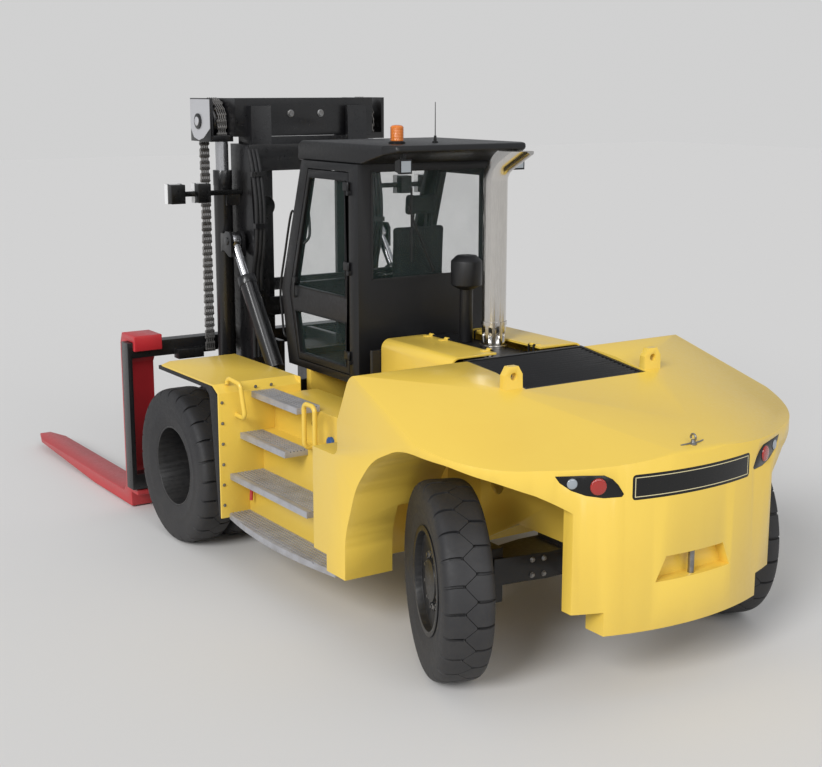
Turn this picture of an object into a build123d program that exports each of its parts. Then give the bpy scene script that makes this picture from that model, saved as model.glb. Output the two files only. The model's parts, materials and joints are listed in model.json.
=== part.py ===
from build123d import *
import os
from math import atan2, cos, degrees, hypot, pi, radians, sin, sqrt, tan

# A diesel counterbalance forklift of the 16 to 18 tonne class, in millimetres.
# +Y points forward to the forks, +X to the truck's right, +Z up; the origin is on
# the ground at the middle of the truck's box.

# Overall truck
wheelbase = 3385.0
tail_overhang = 927.0
front_axle_y = 365.0
tyre_half_track_face = 1455.0
mast_height = 3454.0
roof_height = 3153.0
run_gap = 6.0
door_gap = 8.0
rubber_gap = 0.3

rear_axle_y = front_axle_y - wheelbase
tail_y = rear_axle_y - tail_overhang

# Tyres and rims
tyre_d = 1226.0
tyre_w = 310.0
tyre_bore_d = 640.0
twin_gap = 40.0
lug_count = 24
lug_depth = 24.0
rim_wall = 16.0
rim_lip = 18.0
axle_z = tyre_d / 2
stud_count = 10
stud_pcd = 335.0
twin_stud_pcd = 500.0

# Steering
kingpin_x = 980.0
kingpin_offset = 140.0
steer_rest_deg = -21.4
kingpin_r = 40.0
kingpin_fit = 0.05
stub_r = 80.0
stub_end = 150.0

# Drive axle
drive_tube_r = 150.0
drive_case_r = 200.0
spindle_r = 90.0
spindle_end = 1000.0
bearing_fit = 0.05

# Mast
mast_pivot_y = 660.0
mast_pivot_z = 560.0
mast_pin_r = 45.0
mast_pin_fit = 0.05
rail_in_x = 430.0
rail_out_x = 590.0
rail_y0 = 575.0
rail_y1 = 905.0
rail_web = 42.0
rail_flange = 40.0
rail_bottom_z = 300.0
outer_rail_top_z = mast_height - 364
inner_rail_inset = 8.0
lift_cyl_x = 690.0
lift_cyl_y = 862.0
lift_barrel_r = 75.0
lift_rod_r = 52.0
lift_barrel_top_z = mast_height - 574
sheave_r = 150.0
sheave_y = 1004.0
sheave_z = mast_height - 184
chain_w = 90.0
chain_t = 34.0
chain_pitch = 76.0
chain_waist = 6.0
lift_stroke = 1650.0
crosshead_z = mast_height - 344

# Carriage and forks
fork_w = 250.0
fork_t = 110.0
fork_blade = 2440.0
fork_x = 1250.0
fork_back_y = 1397.0
fork_tip_y = fork_back_y + fork_t + fork_blade
fork_floor = 12.0
fork_top_face = fork_floor + fork_t
fork_tip_t = 22.0
fork_top_z = 1520.0
fork_travel = 900.0
bar_t = 130.0
bar_upper_z = 1330.0
bar_lower_z = 200.0
bar_half = 1420.0
hook_z = bar_upper_z + 60.0
hook_depth = 40.0
bar_clear = 0.3
roller_clear = 0.5

# Tilt cylinders
tilt_x = 695.0
tilt_low_y = -75.0
tilt_low_z = 1290.0
tilt_high_y = 669.0
tilt_high_z = 2321.0
tilt_barrel_r = 68.0
tilt_rod_r = 36.0
tilt_barrel_len = 930.0
tilt_eye_r = 62.0
tilt_eye_w = 64.0
tilt_pin_r = 32.0
tilt_pin_fit = 0.05
cheek_t = 24.0
cheek_gap = 10.0
clevis_gap = 2.0

# Cab
cab_half = 615.0
cab_wall = 50.0
cab_floor_z = 1430.0
cab_top_z = 3010.0
cab_rear_y = -1137.0
cab_side = [(-1137.0, 1430.0), (-80.0, 1430.0), (20.0, 2000.0), (-330.0, 3010.0), (-1137.0, 3010.0)]
door_side = [(-1010.0, 1485.0), (-235.0, 1485.0), (-110.0, 2000.0), (-425.0, 2955.0), (-1010.0, 2955.0)]
glass_t = 8.0
hinge_r = 8.0
hinge_fit = 0.05
hinge_x = cab_half + 13.5
hinge_y = -1018.0
hinge_heights = (1600.0, 2250.0, 2820.0)

# Body
body_half = tyre_half_track_face
fender_top_z = 1417.0
fender_in_x = 768.0
fender_rear_y = -547.0
fender_front_y = 560.0
fender_t = 14.0
tread_pitch = 300.0
tread_first_z = 455.0
tread_t = 45.0
cover_top_z = 1800.0
cover_low_z = 1330.0
cover_edge_r = 70.0
cover_t = 14.0
cover_front_y = -1350.0
cover_rear_y = rear_axle_y + 812
cover_in_x = 188.0
cover_out_x = 560.0
lid_hinge_x = 184.0
lid_hinge_z = 1806.0
lid_hinge_ys = (cover_rear_y + 88, cover_front_y - 270, cover_front_y - 80)
lid_pin_r = 5.0
lid_pin_fit = 0.05
tail_face_y = rear_axle_y - 667
bulkhead_y = rear_axle_y + 770
weight_front_y = rear_axle_y + 1085
bay_front_y = rear_axle_y + 758
bay_rear_y = rear_axle_y + 89
tail_plan_r = 1932.0
tail_corner_x = 1000.0
eye_x = 575.0
eye_z = 1799.0
eye_r = 24.0
tail_low_z = 429.0
frame_rear_x = 360.0
frame_front_x = 630.0
frame_plate = 30.0
frame_hole_r = 75.0


def slab(x0, x1, y0, y1, z0, z1):
    """A box from its corner coordinates."""
    return Pos((x0 + x1) / 2, (y0 + y1) / 2, (z0 + z1) / 2) * Box(abs(x1 - x0), abs(y1 - y0), abs(z1 - z0))


def side_plate(points, x0, x1):
    """A plate seen from the side: a (y, z) outline between two x values."""
    face = make_face(Polyline(*[(x0, y, z) for y, z in points], close=True))
    return extrude(face, amount=x1 - x0, dir=(1, 0, 0))


def plan_plate(points, z0, z1):
    """A plate seen from above: an (x, y) outline between two heights."""
    face = make_face(Polyline(*[(x, y, z0) for x, y in points], close=True))
    return extrude(face, amount=z1 - z0, dir=(0, 0, 1))


def front_plate(points, y0, y1):
    """A plate seen from the front: an (x, z) outline between two y values."""
    face = make_face(Polyline(*[(x, y0, z) for x, z in points], close=True))
    return extrude(face, amount=y1 - y0, dir=(0, 1, 0))


def rod(start, end, radius):
    """A round bar between two points."""
    start, end = Vector(*start), Vector(*end)
    along = end - start
    circle = Plane(origin=start, z_dir=along) * Circle(radius)
    return extrude(circle, amount=along.length, dir=along)


def disc_x(y, z, radius, x0, x1):
    """A round plate with its axis along X."""
    return rod((x0, y, z), (x1, y, z), radius)


def tube(points, radius, bend):
    """A bent tube along straight runs joined by arcs."""
    path = FilletPolyline(*points, radius=bend)
    return sweep(Plane(origin=path @ 0, z_dir=path % 0) * Circle(radius), path)


def mirrored(shape):
    """The same shape on the truck's other side."""
    return mirror(shape, about=Plane.YZ)


def inset(points, gap):
    """The polygon moved inwards by a gap, for a counter-clockwise (y, z) outline."""
    lines = []
    count = len(points)
    for i in range(count):
        (ay, az), (by, bz) = points[i], points[(i + 1) % count]
        length = hypot(by - ay, bz - az)
        ny, nz = -(bz - az) / length, (by - ay) / length
        lines.append((ay + ny * gap, az + nz * gap, by - ay, bz - az))
    moved = []
    for i in range(count):
        ay, az, ady, adz = lines[i - 1]
        by, bz, bdy, bdz = lines[i]
        cross = ady * bdz - adz * bdy
        t = ((by - ay) * bdz - (bz - az) * bdy) / cross
        moved.append((ay + ady * t, az + adz * t))
    return moved


def above(a, b, c):
    """Everything over the sloping plane through three points."""
    normal = (b - a).cross(c - a)
    if normal.Z < 0:
        normal = normal * -1
    return Plane(origin=a, z_dir=normal) * Pos(0, 0, 2000) * Box(8000, 8000, 4000)


def rounded_side(points, x0, x1, radius):
    """A plate seen from the side with every corner rounded: a (y, z) outline between two x values."""
    face = make_face(FilletPolyline(*[(x0, y, z) for y, z in points], radius=radius, close=True))
    return extrude(face, amount=x1 - x0, dir=(1, 0, 0))


def edges_at(shape, axis, x, z):
    """The edges along an axis that pass through an (x, z) place."""
    edges = shape.edges().filter_by(axis)
    return [e for e in edges if abs(e.center().X - x) < 1 and abs(e.center().Z - z) < 1]


parts = {}

# Chassis frame: wide plates beside the cab and engine, narrow plates between the steered wheels
front_rail = side_plate(
    [(bulkhead_y, 520), (mast_pivot_y + 80, 480), (mast_pivot_y + 80, 640), (620, 900), (420, 1150),
     (bulkhead_y, 1150)],
    frame_front_x - frame_plate,
    frame_front_x,
)
front_rail += disc_x(mast_pivot_y, mast_pivot_z, mast_pin_r, rail_out_x - rail_web + 4, frame_front_x)
rear_rail = side_plate(
    [(tail_face_y, 760), (rear_axle_y + 320, 760), (bulkhead_y, 520), (bulkhead_y, 1150),
     (rear_axle_y + 520, 1400), (tail_face_y, 1400)],
    frame_rear_x - frame_plate,
    frame_rear_x,
)
frame = front_rail + mirrored(front_rail) + rear_rail + mirrored(rear_rail)
frame += slab(-frame_front_x, frame_front_x, bulkhead_y - 30, bulkhead_y, 520, 1150)
# Cross beams: columns are rear y, length, bottom and top
beam_table = [
    (cover_rear_y + 208, 100, 560, 660),
    (cover_front_y - 150, 100, 560, 660),
    (-700, 100, 700, 1150),
    (120, 60, 800, 1100),
]
for y0, length, z0, z1 in beam_table:
    frame += slab(-frame_front_x + frame_plate, frame_front_x - frame_plate, y0, y0 + length, z0, z1)
for y in (rear_axle_y - 210, rear_axle_y + 210):
    frame += slab(-frame_rear_x + frame_plate, frame_rear_x - frame_plate, y - 30, y + 30, 760, 1150)
frame -= disc_x(rear_axle_y + 560, 980, frame_hole_r, -frame_rear_x - 1, frame_rear_x + 1)
for y0, y1 in [(-1080, -1020), (-420, -360)]:
    frame += slab(-cab_half, cab_half, y0, y1, 1150, cab_floor_z)
axle_rear_y, axle_front_y = front_axle_y - drive_tube_r, front_axle_y + drive_tube_r
frame -= slab(-frame_front_x - 1, frame_front_x + 1, axle_rear_y, axle_front_y, 400, axle_z)
frame -= disc_x(front_axle_y, axle_z, drive_tube_r, -frame_front_x - 1, frame_front_x + 1)
parts["chassis_frame"] = frame

# Drive axle: round case, tubes and hub ends
drive = disc_x(front_axle_y, axle_z, drive_tube_r, -760, 760)
drive += Pos(0, front_axle_y, axle_z) * Sphere(drive_case_r)
drive += disc_x(front_axle_y, axle_z, spindle_r, -spindle_end, spindle_end)
drive -= slab(-300, 300, front_axle_y - 400, front_axle_y + 400, axle_z + drive_tube_r + 40, 1200)
parts["drive_axle"] = drive

# Steer axle: beam, cylinder and kingpin eyes
beam = plan_plate(
    [(-860, -90), (-500, -150), (500, -150), (860, -90), (860, 90), (500, 150), (-500, 150), (-860, 90)],
    560,
    730,
)
beam = Pos(0, rear_axle_y, 0) * beam
beam += disc_x(rear_axle_y - 215, 600, 70, -370, 370)
beam += slab(-340, 340, rear_axle_y - 215, rear_axle_y - 120, 540, 660)
for sx in (-1, 1):
    for z0 in (440, 720):
        beam += slab(sx * 820, sx * kingpin_x, rear_axle_y - 70, rear_axle_y + 70, z0, z0 + 70)
        beam += Pos(sx * kingpin_x, rear_axle_y, z0 + 35) * Cylinder(70, 70)
    beam += slab(sx * 780, sx * 850, rear_axle_y - 70, rear_axle_y + 70, 440, 790)
    beam -= Pos(sx * kingpin_x, rear_axle_y, 615) * Cylinder(kingpin_r + kingpin_fit, 420)
beam += slab(-frame_rear_x, frame_rear_x, rear_axle_y - 120, rear_axle_y + 120, 730, 760)
parts["steer_axle"] = beam


def tyre_outline(radius):
    """Half section of a tyre as (radial, axial) points, for one side of its middle."""
    return [
        (tyre_bore_d / 2, tyre_w * 0.40),
        (radius * 0.66, tyre_w * 0.47),
        (radius * 0.80, tyre_w * 0.50),
        (radius * 0.945, tyre_w * 0.46),
        (radius - 4, tyre_w * 0.37),
        (radius, tyre_w * 0.20),
    ]


def make_tyre():
    """A tyre with its axis along X and its middle at the origin."""
    half = tyre_outline(tyre_d / 2)
    ring = [(a, r) for r, a in half] + [(-a, r) for r, a in reversed(half)]
    face = make_face(Polyline(*[(a, 0, r) for a, r in ring], close=True))
    body = revolve(face, axis=Axis.X)
    notch = slab(tyre_w * 0.30, tyre_w, -16, 16, tyre_d / 2 - lug_depth, tyre_d)
    cuts = []
    for i in range(lug_count):
        turn = 360.0 / lug_count
        cuts.append(Rot(i * turn, 0, 0) * notch)
        cuts.append(Rot((i + 0.5) * turn, 0, 0) * mirrored(notch))
    return body - cuts


def make_rim(dish):
    """A rim barrel with its flanges and a coned disc, whose middle lies at x = dish."""
    bead = tyre_w * 0.40
    inner_r = tyre_bore_d / 2 - rim_wall
    section = [
        (-bead - 16, inner_r),
        (-bead - 16, tyre_bore_d / 2 + rim_lip),
        (-bead - 7, tyre_bore_d / 2 + rim_lip),
        (-bead - 7, tyre_bore_d / 2),
        (bead + 7, tyre_bore_d / 2),
        (bead + 7, tyre_bore_d / 2 + rim_lip),
        (bead + 16, tyre_bore_d / 2 + rim_lip),
        (bead + 16, inner_r),
        (bead - 30, inner_r),
        (dish + 10, 215),
        (dish + 10, 0),
        (dish - 10, 0),
        (dish - 10, 235),
        (bead - 60, inner_r),
    ]
    face = make_face(Polyline(*[(x, 0, r) for x, r in section], close=True))
    return revolve(face, axis=Axis.X)


tyre = make_tyre()
outer_x = tyre_half_track_face - tyre_w / 2
inner_x = outer_x - tyre_w - twin_gap

# Front twin wheels: two tyres, one joined rim with its hub
front_rim = disc_x(0, 0, tyre_bore_d / 2, inner_x - tyre_w * 0.40, outer_x + tyre_w * 0.40)
front_rim -= disc_x(0, 0, tyre_bore_d / 2 - rim_wall, inner_x - tyre_w, outer_x + tyre_w)
front_rim += disc_x(0, 0, tyre_bore_d / 2 - rim_wall, 1010, 1040)
front_rim += disc_x(0, 0, 205, 1040, 1190) + disc_x(0, 0, 165, 790, 1040)
front_rim -= disc_x(0, 0, spindle_r + bearing_fit, 700, spindle_end + 6)
for i in range(stud_count):
    turn = 2 * pi * i / stud_count
    front_rim += disc_x(twin_stud_pcd / 2 * cos(turn), twin_stud_pcd / 2 * sin(turn), 16, 1040, 1068)
front_rim = Pos(0, front_axle_y, axle_z) * front_rim
front_tyres = Pos(outer_x, front_axle_y, axle_z) * tyre
front_tyres += Pos(inner_x, front_axle_y, axle_z) * Rot(180 / lug_count, 0, 0) * tyre
parts["front_rim_right"] = front_rim
parts["front_rim_left"] = mirrored(front_rim)
parts["front_tyres_right"] = front_tyres
parts["front_tyres_left"] = mirrored(front_tyres)

# Steered rear wheels: knuckle with its kingpin and stub, rim and tyre
knuckle_core = Cylinder(62, 196)
knuckle_core += slab(0, 74, -60, 60, -90, 90)
knuckle_core += disc_x(0, 0, stub_r, 60, stub_end)
knuckle_core += Cylinder(kingpin_r, 370)
steer_arm = plan_plate([(-40, -30), (-20, -120), (20, -120), (40, -30)], -98, -68)
knuckle_core += steer_arm
rear_rim = make_rim(62)
rear_rim += disc_x(0, 0, 130, -60, 110)
rear_rim -= disc_x(0, 0, stub_r + bearing_fit, -200, stub_end - kingpin_offset + 5)
for i in range(stud_count):
    turn = 2 * pi * i / stud_count
    rear_rim += disc_x(stud_pcd / 2 * cos(turn), stud_pcd / 2 * sin(turn), 16, 72, 98)
for side, sx in (("right", 1), ("left", -1)):
    place = Pos(sx * kingpin_x, rear_axle_y, axle_z) * Rot(0, 0, steer_rest_deg)
    flip = (lambda s: s) if sx > 0 else mirrored
    parts["steer_knuckle_" + side] = place * flip(knuckle_core)
    parts["rear_rim_" + side] = place * Pos(sx * kingpin_offset, 0, 0) * flip(rear_rim)
    parts["rear_tyre_" + side] = place * Pos(sx * kingpin_offset, 0, 0) * tyre

# Front fenders: top plate, rear wall and inner wall over each twin wheel
fender = side_plate(
    [
        (fender_front_y, fender_top_z),
        (fender_rear_y + 90, fender_top_z),
        (fender_rear_y, fender_top_z - 50),
        (fender_rear_y, 420),
        (fender_rear_y + fender_t, 420),
        (fender_rear_y + fender_t, fender_top_z - 58),
        (fender_rear_y + 96, fender_top_z - fender_t),
        (fender_front_y, fender_top_z - fender_t),
    ],
    fender_in_x,
    body_half,
)
fender_corner = [
    (body_half + 45, fender_front_y - 140),
    (body_half - 155, fender_front_y + 40),
    (body_half + 45, fender_front_y + 40),
]
fender -= plan_plate(fender_corner, 1300, 1500)
fender += slab(fender_in_x, fender_in_x + 10, fender_rear_y, 250, 1086, fender_top_z)
fender += slab(frame_front_x, fender_in_x, fender_rear_y, tilt_low_y - 160, 1086, 1100)
parts["front_fenders"] = fender + mirrored(fender)

# Rubber guards behind the front wheels
guard = side_plate(
    [
        (fender_front_y - 40, fender_top_z - fender_t - rubber_gap),
        (fender_rear_y + 120, fender_top_z - fender_t - rubber_gap),
        (fender_rear_y + fender_t + rubber_gap, fender_top_z - 80),
        (fender_rear_y + fender_t + rubber_gap, 430),
        (fender_rear_y + 40, 430),
        (fender_rear_y + 150, fender_top_z - 90),
        (fender_rear_y + 210, fender_top_z - 45),
        (fender_front_y - 40, fender_top_z - 45),
    ],
    body_half - 125,
    body_half,
)
parts["mudguards"] = guard + mirrored(guard)

# Side tanks with the stair risers
riser_xs = (body_half - 235, body_half - 355, body_half - 455)
tank_profile = [
    (riser_xs[0], tread_first_z - 30),
    (riser_xs[0], tread_first_z + tread_pitch - tread_t),
    (riser_xs[1], tread_first_z + tread_pitch - tread_t),
    (riser_xs[1], tread_first_z + 2 * tread_pitch),
    (riser_xs[2], tread_first_z + 2 * tread_pitch),
    (riser_xs[2], tread_first_z + 3 * tread_pitch - tread_t),
    (frame_front_x, tread_first_z + 3 * tread_pitch - tread_t),
    (frame_front_x, tread_first_z - 30),
]
tank = front_plate(tank_profile, weight_front_y + 10, fender_rear_y)
parts["side_tanks"] = tank + mirrored(tank)

# Ribbed treads: columns are outer x, inner x, rear y and height step
tread_table = [
    (body_half, riser_xs[0], weight_front_y - 150, 0),
    (body_half - 80, riser_xs[1], weight_front_y + 235, 1),
    (body_half - 170, riser_xs[1], weight_front_y + 700, 2),
    (body_half - 270, riser_xs[2], weight_front_y + 700, 3),
]
treads = []
for x1, x0, y0, step in tread_table:
    top = tread_first_z + step * tread_pitch
    tread = slab(x0, x1, y0, fender_rear_y, top - tread_t, top)
    pitch = 28.0
    count = int((x1 - x0 - 30) / pitch)
    for i in range(count):
        x = x0 + 22 + i * pitch
        tread -= slab(x, x + 10, y0 - 1, fender_rear_y + 1, top - 8, top + 1)
    treads.append(tread)
bow_front, bow_rear = (body_half - 75, -500), (body_half - 75, weight_front_y - 165)
bow = make_face(
    Polyline(bow_front, (riser_xs[0] - 20, bow_front[1]), (riser_xs[0] - 20, bow_rear[1]), bow_rear)
    + ThreePointArc(bow_rear, (body_half, (bow_front[1] + bow_rear[1]) / 2), bow_front)
)
treads[0] = treads[0] & extrude(Pos(0, 0, 300) * bow, amount=300, dir=(0, 0, 1))
tread_right = treads[0] + treads[1] + treads[2] + treads[3]
parts["step_treads"] = tread_right + mirrored(tread_right)

# Counterweight: bowed plan, side profile and sloping shoulders, with open wheel arches
def tail_prism(half, rear, z0, z1):
    """The tail's plan between two heights, with its side faces and rear face at the given places."""
    corner_y = rear + tail_plan_r - sqrt(tail_plan_r**2 - tail_corner_x**2)
    side_y = rear_axle_y + 40
    outline = Polyline((-half, side_y), (-half, weight_front_y), (half, weight_front_y), (half, side_y))
    outline += ThreePointArc((half, side_y), (half - 125, rear_axle_y - 370), (tail_corner_x, corner_y))
    outline += ThreePointArc((tail_corner_x, corner_y), (0, rear), (-tail_corner_x, corner_y))
    outline += ThreePointArc((-tail_corner_x, corner_y), (-half + 125, rear_axle_y - 370), (-half, side_y))
    return extrude(Pos(0, 0, z0) * make_face(outline), amount=z1 - z0, dir=(0, 0, 1))


weight = tail_prism(body_half, tail_y, tail_low_z, cover_top_z + 20)
profile = [
    (weight_front_y + 200, 1276),
    (bulkhead_y, 1276),
    (bulkhead_y, 1793),
    (rear_axle_y + 400, 1768),
    (rear_axle_y + 90, 1716),
    (rear_axle_y - 280, 1640),
    (rear_axle_y - 630, 1562),
    (tail_y - 8, 1480),
    (tail_y - 8, tail_low_z - 300),
    (weight_front_y + 200, tail_low_z - 300),
]
weight &= rounded_side(profile, -1600, 1600, 62)
weight -= side_plate(
    [
        (rear_axle_y - 540, tail_low_z - 10),
        (rear_axle_y - 540, tail_low_z),
        (rear_axle_y + 640, 478),
        (rear_axle_y + 920, 478),
        (rear_axle_y + 920, 590),
        (weight_front_y + 10, 590),
        (weight_front_y + 10, tail_low_z - 10),
    ],
    -1600,
    1600,
)
front_view = [
    (-body_half + 105, 1830),
    (-body_half, 1500),
    (-body_half, 400),
    (body_half, 400),
    (body_half, 1500),
    (body_half - 105, 1830),
]
weight &= front_plate(front_view, tail_y - 53, weight_front_y + 35)
for sx in (-1, 1):
    corner, inner_end = Vector(sx * 1365, bulkhead_y, 1800), Vector(sx * 600, bay_rear_y, 1716)
    weight -= above(corner, inner_end, Vector(sx * 1230, rear_axle_y + 20, 1600))
arch = [
    (rear_axle_y + 695, -400),
    (rear_axle_y + 685, 765),
    (rear_axle_y + 550, 1121),
    (rear_axle_y + 360, 1338),
    (rear_axle_y + 30, 1484),
    (rear_axle_y - 310, 1444),
    (rear_axle_y - 580, 1354),
    (rear_axle_y - 750, 1200),
    (rear_axle_y - 840, 1000),
    (rear_axle_y - 840, -400),
]
for sx in (-1, 1):
    weight -= rounded_side(arch, sx * 805, sx * 1600, 500)
weight -= slab(-805, 805, tail_face_y, bulkhead_y - 10, 300, 1400)
weight -= slab(-1100, 1100, rear_axle_y + 620, rear_axle_y + 1120, 300, 1276)
weight -= slab(-1100, 1100, bulkhead_y, rear_axle_y + 1120, 1200, 1900)
for sx in (-1, 1):
    weight -= slab(sx * 620, sx * 1300, tail_y - 53, tail_y + 347, 400, 575)
weight -= slab(-500, 500, bay_rear_y, bay_front_y, 1300, 1900)
weight -= front_plate([(-230, 870), (230, 870), (300, 720), (-300, 720)], tail_y - 13, tail_y + 97)
for x in (-eye_x, eye_x):
    eye = front_plate(
        [(x - 72, 1690), (x + 72, 1690), (x + 68, 1810), (x + 36, 1862), (x - 36, 1862), (x - 68, 1810)],
        rear_axle_y + 115,
        rear_axle_y + 165,
    )
    weight += eye - rod((x, rear_axle_y, eye_z), (x, rear_axle_y + 200, eye_z), eye_r)
weight += rod((0, tail_y + 42, 700), (0, tail_y + 42, 900), 18)
parts["counterweight"] = weight

# Engine covers: two lids hinged beside the spine
cover = slab(cover_in_x, cover_out_x, cover_rear_y, cover_front_y, cover_low_z, cover_top_z)
cover = fillet(edges_at(cover, Axis.Y, cover_out_x, cover_top_z), cover_edge_r)
cap = cover & front_plate(
    [
        (cover_in_x, cover_top_z),
        (cover_out_x, cover_top_z),
        (cover_out_x, cover_low_z),
        (cover_out_x - 30, cover_low_z),
        (cover_in_x + 100, cover_top_z - 90),
        (cover_in_x, cover_top_z - 60),
    ],
    cover_front_y - cover_t,
    cover_front_y,
)
hollow_x, hollow_z = cover_out_x - cover_t, cover_top_z - cover_t
hollow = slab(cover_in_x - 100, hollow_x, cover_rear_y - 1, cover_front_y + 1, cover_low_z - 1, hollow_z)
cover -= fillet(edges_at(hollow, Axis.Y, hollow_x, hollow_z), cover_edge_r - cover_t)
cover += cap
for y in lid_hinge_ys:
    cover += slab(lid_hinge_x, lid_hinge_x + 60, y - 19, y + 19, cover_top_z, lid_hinge_z)
    cover += rod((lid_hinge_x, y - 19, lid_hinge_z), (lid_hinge_x, y + 19, lid_hinge_z), 11)
    bore_r = lid_pin_r + lid_pin_fit
    cover -= rod((lid_hinge_x, y - 20, lid_hinge_z), (lid_hinge_x, y + 20, lid_hinge_z), bore_r)
parts["engine_cover_right"] = cover
parts["engine_cover_left"] = mirrored(cover)

# Engine as one plain block on the frame's cross beams
engine_half = 300.0
parts["engine_block"] = slab(-engine_half, engine_half, cover_rear_y + 18, cover_front_y - 10, 660, 1560)

# Hood deck: spine between the covers with side walls down to the frame
deck_rear_y = bulkhead_y + run_gap
deck = slab(-cover_in_x + run_gap, cover_in_x - run_gap, deck_rear_y, cab_rear_y - 20, 1720, 1745)
for sx in (-1, 1):
    deck += slab(sx * 150, sx * (cover_in_x - run_gap), deck_rear_y, cab_rear_y - 20, 1620, 1720)
deck += slab(-frame_front_x + 2, frame_front_x - 2, -1340, -1310, 1150, 1720)
deck += slab(-frame_front_x + 2, frame_front_x - 2, deck_rear_y, deck_rear_y + 30, 1150, 1720)
deck += slab(-cover_in_x + run_gap, cover_in_x - run_gap, deck_rear_y, deck_rear_y + 30, 1700, 1745)
for sx in (-1, 1):
    for y in lid_hinge_ys:
        pin_x = sx * lid_hinge_x
        deck += rod((pin_x, y - 31, lid_hinge_z), (pin_x, y + 31, lid_hinge_z), lid_pin_r)
        for y0 in (y - 31, y + 21):
            deck += slab(sx * 170, sx * (cover_in_x - run_gap), y0, y0 + 10, 1700, lid_hinge_z)
            deck += rod((pin_x, y0, lid_hinge_z), (pin_x, y0 + 10, lid_hinge_z), 6.5)
parts["hood_deck"] = deck

# Radiator grille: frame with cross slats over the opening in the counterweight
grille_front = (bay_front_y - rubber_gap, 1786.0)
grille_rear = (bay_rear_y + rubber_gap, 1708.0)
slope = atan2(grille_front[1] - grille_rear[1], grille_front[0] - grille_rear[0])
grille_half = 500.0 - rubber_gap
grille_len = hypot(grille_front[0] - grille_rear[0], grille_front[1] - grille_rear[1])
grille = Box(2 * grille_half, grille_len, 40) - Box(2 * grille_half - 50, grille_len - 50, 60)
slat_count = 15
for i in range(slat_count):
    y = -grille_len / 2 + (i + 1) * grille_len / (slat_count + 1)
    grille += Pos(0, y, -2) * Rot(-35, 0, 0) * Box(2 * grille_half - 40, 5, 36)
for x in (-165, 165):
    grille += Pos(x, 0, -14) * Box(12, grille_len - 40, 12)
grille_mid = ((grille_front[0] + grille_rear[0]) / 2, (grille_front[1] + grille_rear[1]) / 2)
grille = Pos(0, grille_mid[0], grille_mid[1] - 16) * Rot(degrees(slope), 0, 0) * grille
grille = grille & slab(-grille_half, grille_half, grille_rear[0], grille_front[0], 1500, 1900)
parts["radiator_grille"] = grille

# Radiator below the grille, on the narrow rails
parts["radiator"] = slab(-frame_rear_x - 60, frame_rear_x + 60, bay_rear_y + 31, bay_rear_y + 411, 1400, 1560)

# Exhaust stack with its cut-off outlet
stack_x, stack_y, stack_r = 85.0, -1809.0, 84.0
vent_count = 10
stack_path = [(stack_x, stack_y, 2600), (stack_x, stack_y, 3000), (stack_x + 110, stack_y - 190, 3160)]
stack = rod((stack_x, stack_y, 1745), (stack_x, stack_y, 2600), stack_r) + tube(stack_path, stack_r, 180)
stack -= tube(stack_path, stack_r - 6, 180)
stack -= Pos(stack_x, stack_y, 3235) * Box(900, 900, 240)
stack += Pos(stack_x, stack_y, 1757) * Cylinder(stack_r + 14, 24)
stack += Pos(stack_x, stack_y, 1925) * (Cylinder(stack_r + 7, 26) - Cylinder(stack_r, 26))
for i in range(vent_count):
    turn = 2 * pi * i / vent_count
    reach = Vector(cos(turn), sin(turn), 0)
    centre = Vector(stack_x, stack_y, 1850)
    stack -= rod(tuple(centre + reach * (stack_r - 12)), tuple(centre + reach * (stack_r + 2)), 13)
parts["exhaust_stack"] = stack

# Air cleaner on its post
cleaner_x, cleaner_y = 60.0, -1510.0
cleaner = Pos(cleaner_x, cleaner_y, 1945) * Cylinder(48, 400)
cleaner += Pos(cleaner_x, cleaner_y, 2245) * Cylinder(112, 170)
cleaner += Pos(cleaner_x, cleaner_y, 2350) * Cone(112, 70, 40)
cleaner += Pos(cleaner_x, cleaner_y, 2145) * Cone(60, 112, 30)
parts["air_cleaner"] = cleaner

# Cab frame: hollow shell with its windows and door openings cut
shell = side_plate(cab_side, -cab_half, cab_half)
inner = side_plate(inset(cab_side, cab_wall), -cab_half + cab_wall, cab_half - cab_wall)
cab = shell - inner
cab -= side_plate(door_side, -cab_half - 1, cab_half + 1)
cab -= slab(-515, 515, -500, 100, 1530, 1950)
cab -= slab(-515, 515, -500, 100, 2050, 2925)
cab -= slab(-500, 500, -1200, -1000, 2190, 2960)
cab -= slab(-430, 430, -1000, -400, 2950, 3100)
for sx in (-1, 1):
    for z in hinge_heights:
        cab += slab(sx * cab_half, sx * (hinge_x + 10), hinge_y - 20, hinge_y + 10, z - 30, z)
        cab += Pos(sx * hinge_x, hinge_y, z + 30) * Cylinder(hinge_r, 60)
parts["cab_frame"] = cab

# Cab glass: panes held in the window openings
pane_shell = side_plate(inset(cab_side, 18), -cab_half + 18, cab_half - 18)
pane_shell -= side_plate(inset(cab_side, 18 + glass_t), -cab_half, cab_half)
panes = pane_shell & slab(-515, 515, -500, 100, 1530, 1950)
panes += pane_shell & slab(-515, 515, -500, 100, 2050, 2925)
panes += pane_shell & slab(-500, 500, -1200, -1000, 2190, 2960)
parts["cab_glass"] = panes

# Cab roof with its rear visor
roof = side_plate(
    [(-1560, 3110), (-1540, roof_height), (-300, roof_height), (-250, 3120), (-250, cab_top_z),
     (-1150, cab_top_z), (-1300, 3050)],
    -cab_half + 10,
    cab_half - 10,
)
for sx in (-1, 1):
    roof_corner = [(sx * 700, -1600), (sx * 520, -1600), (sx * 640, -1380), (sx * 700, -1380)]
    roof -= plan_plate(roof_corner, 2900, 3200)
parts["cab_roof"] = roof

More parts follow.
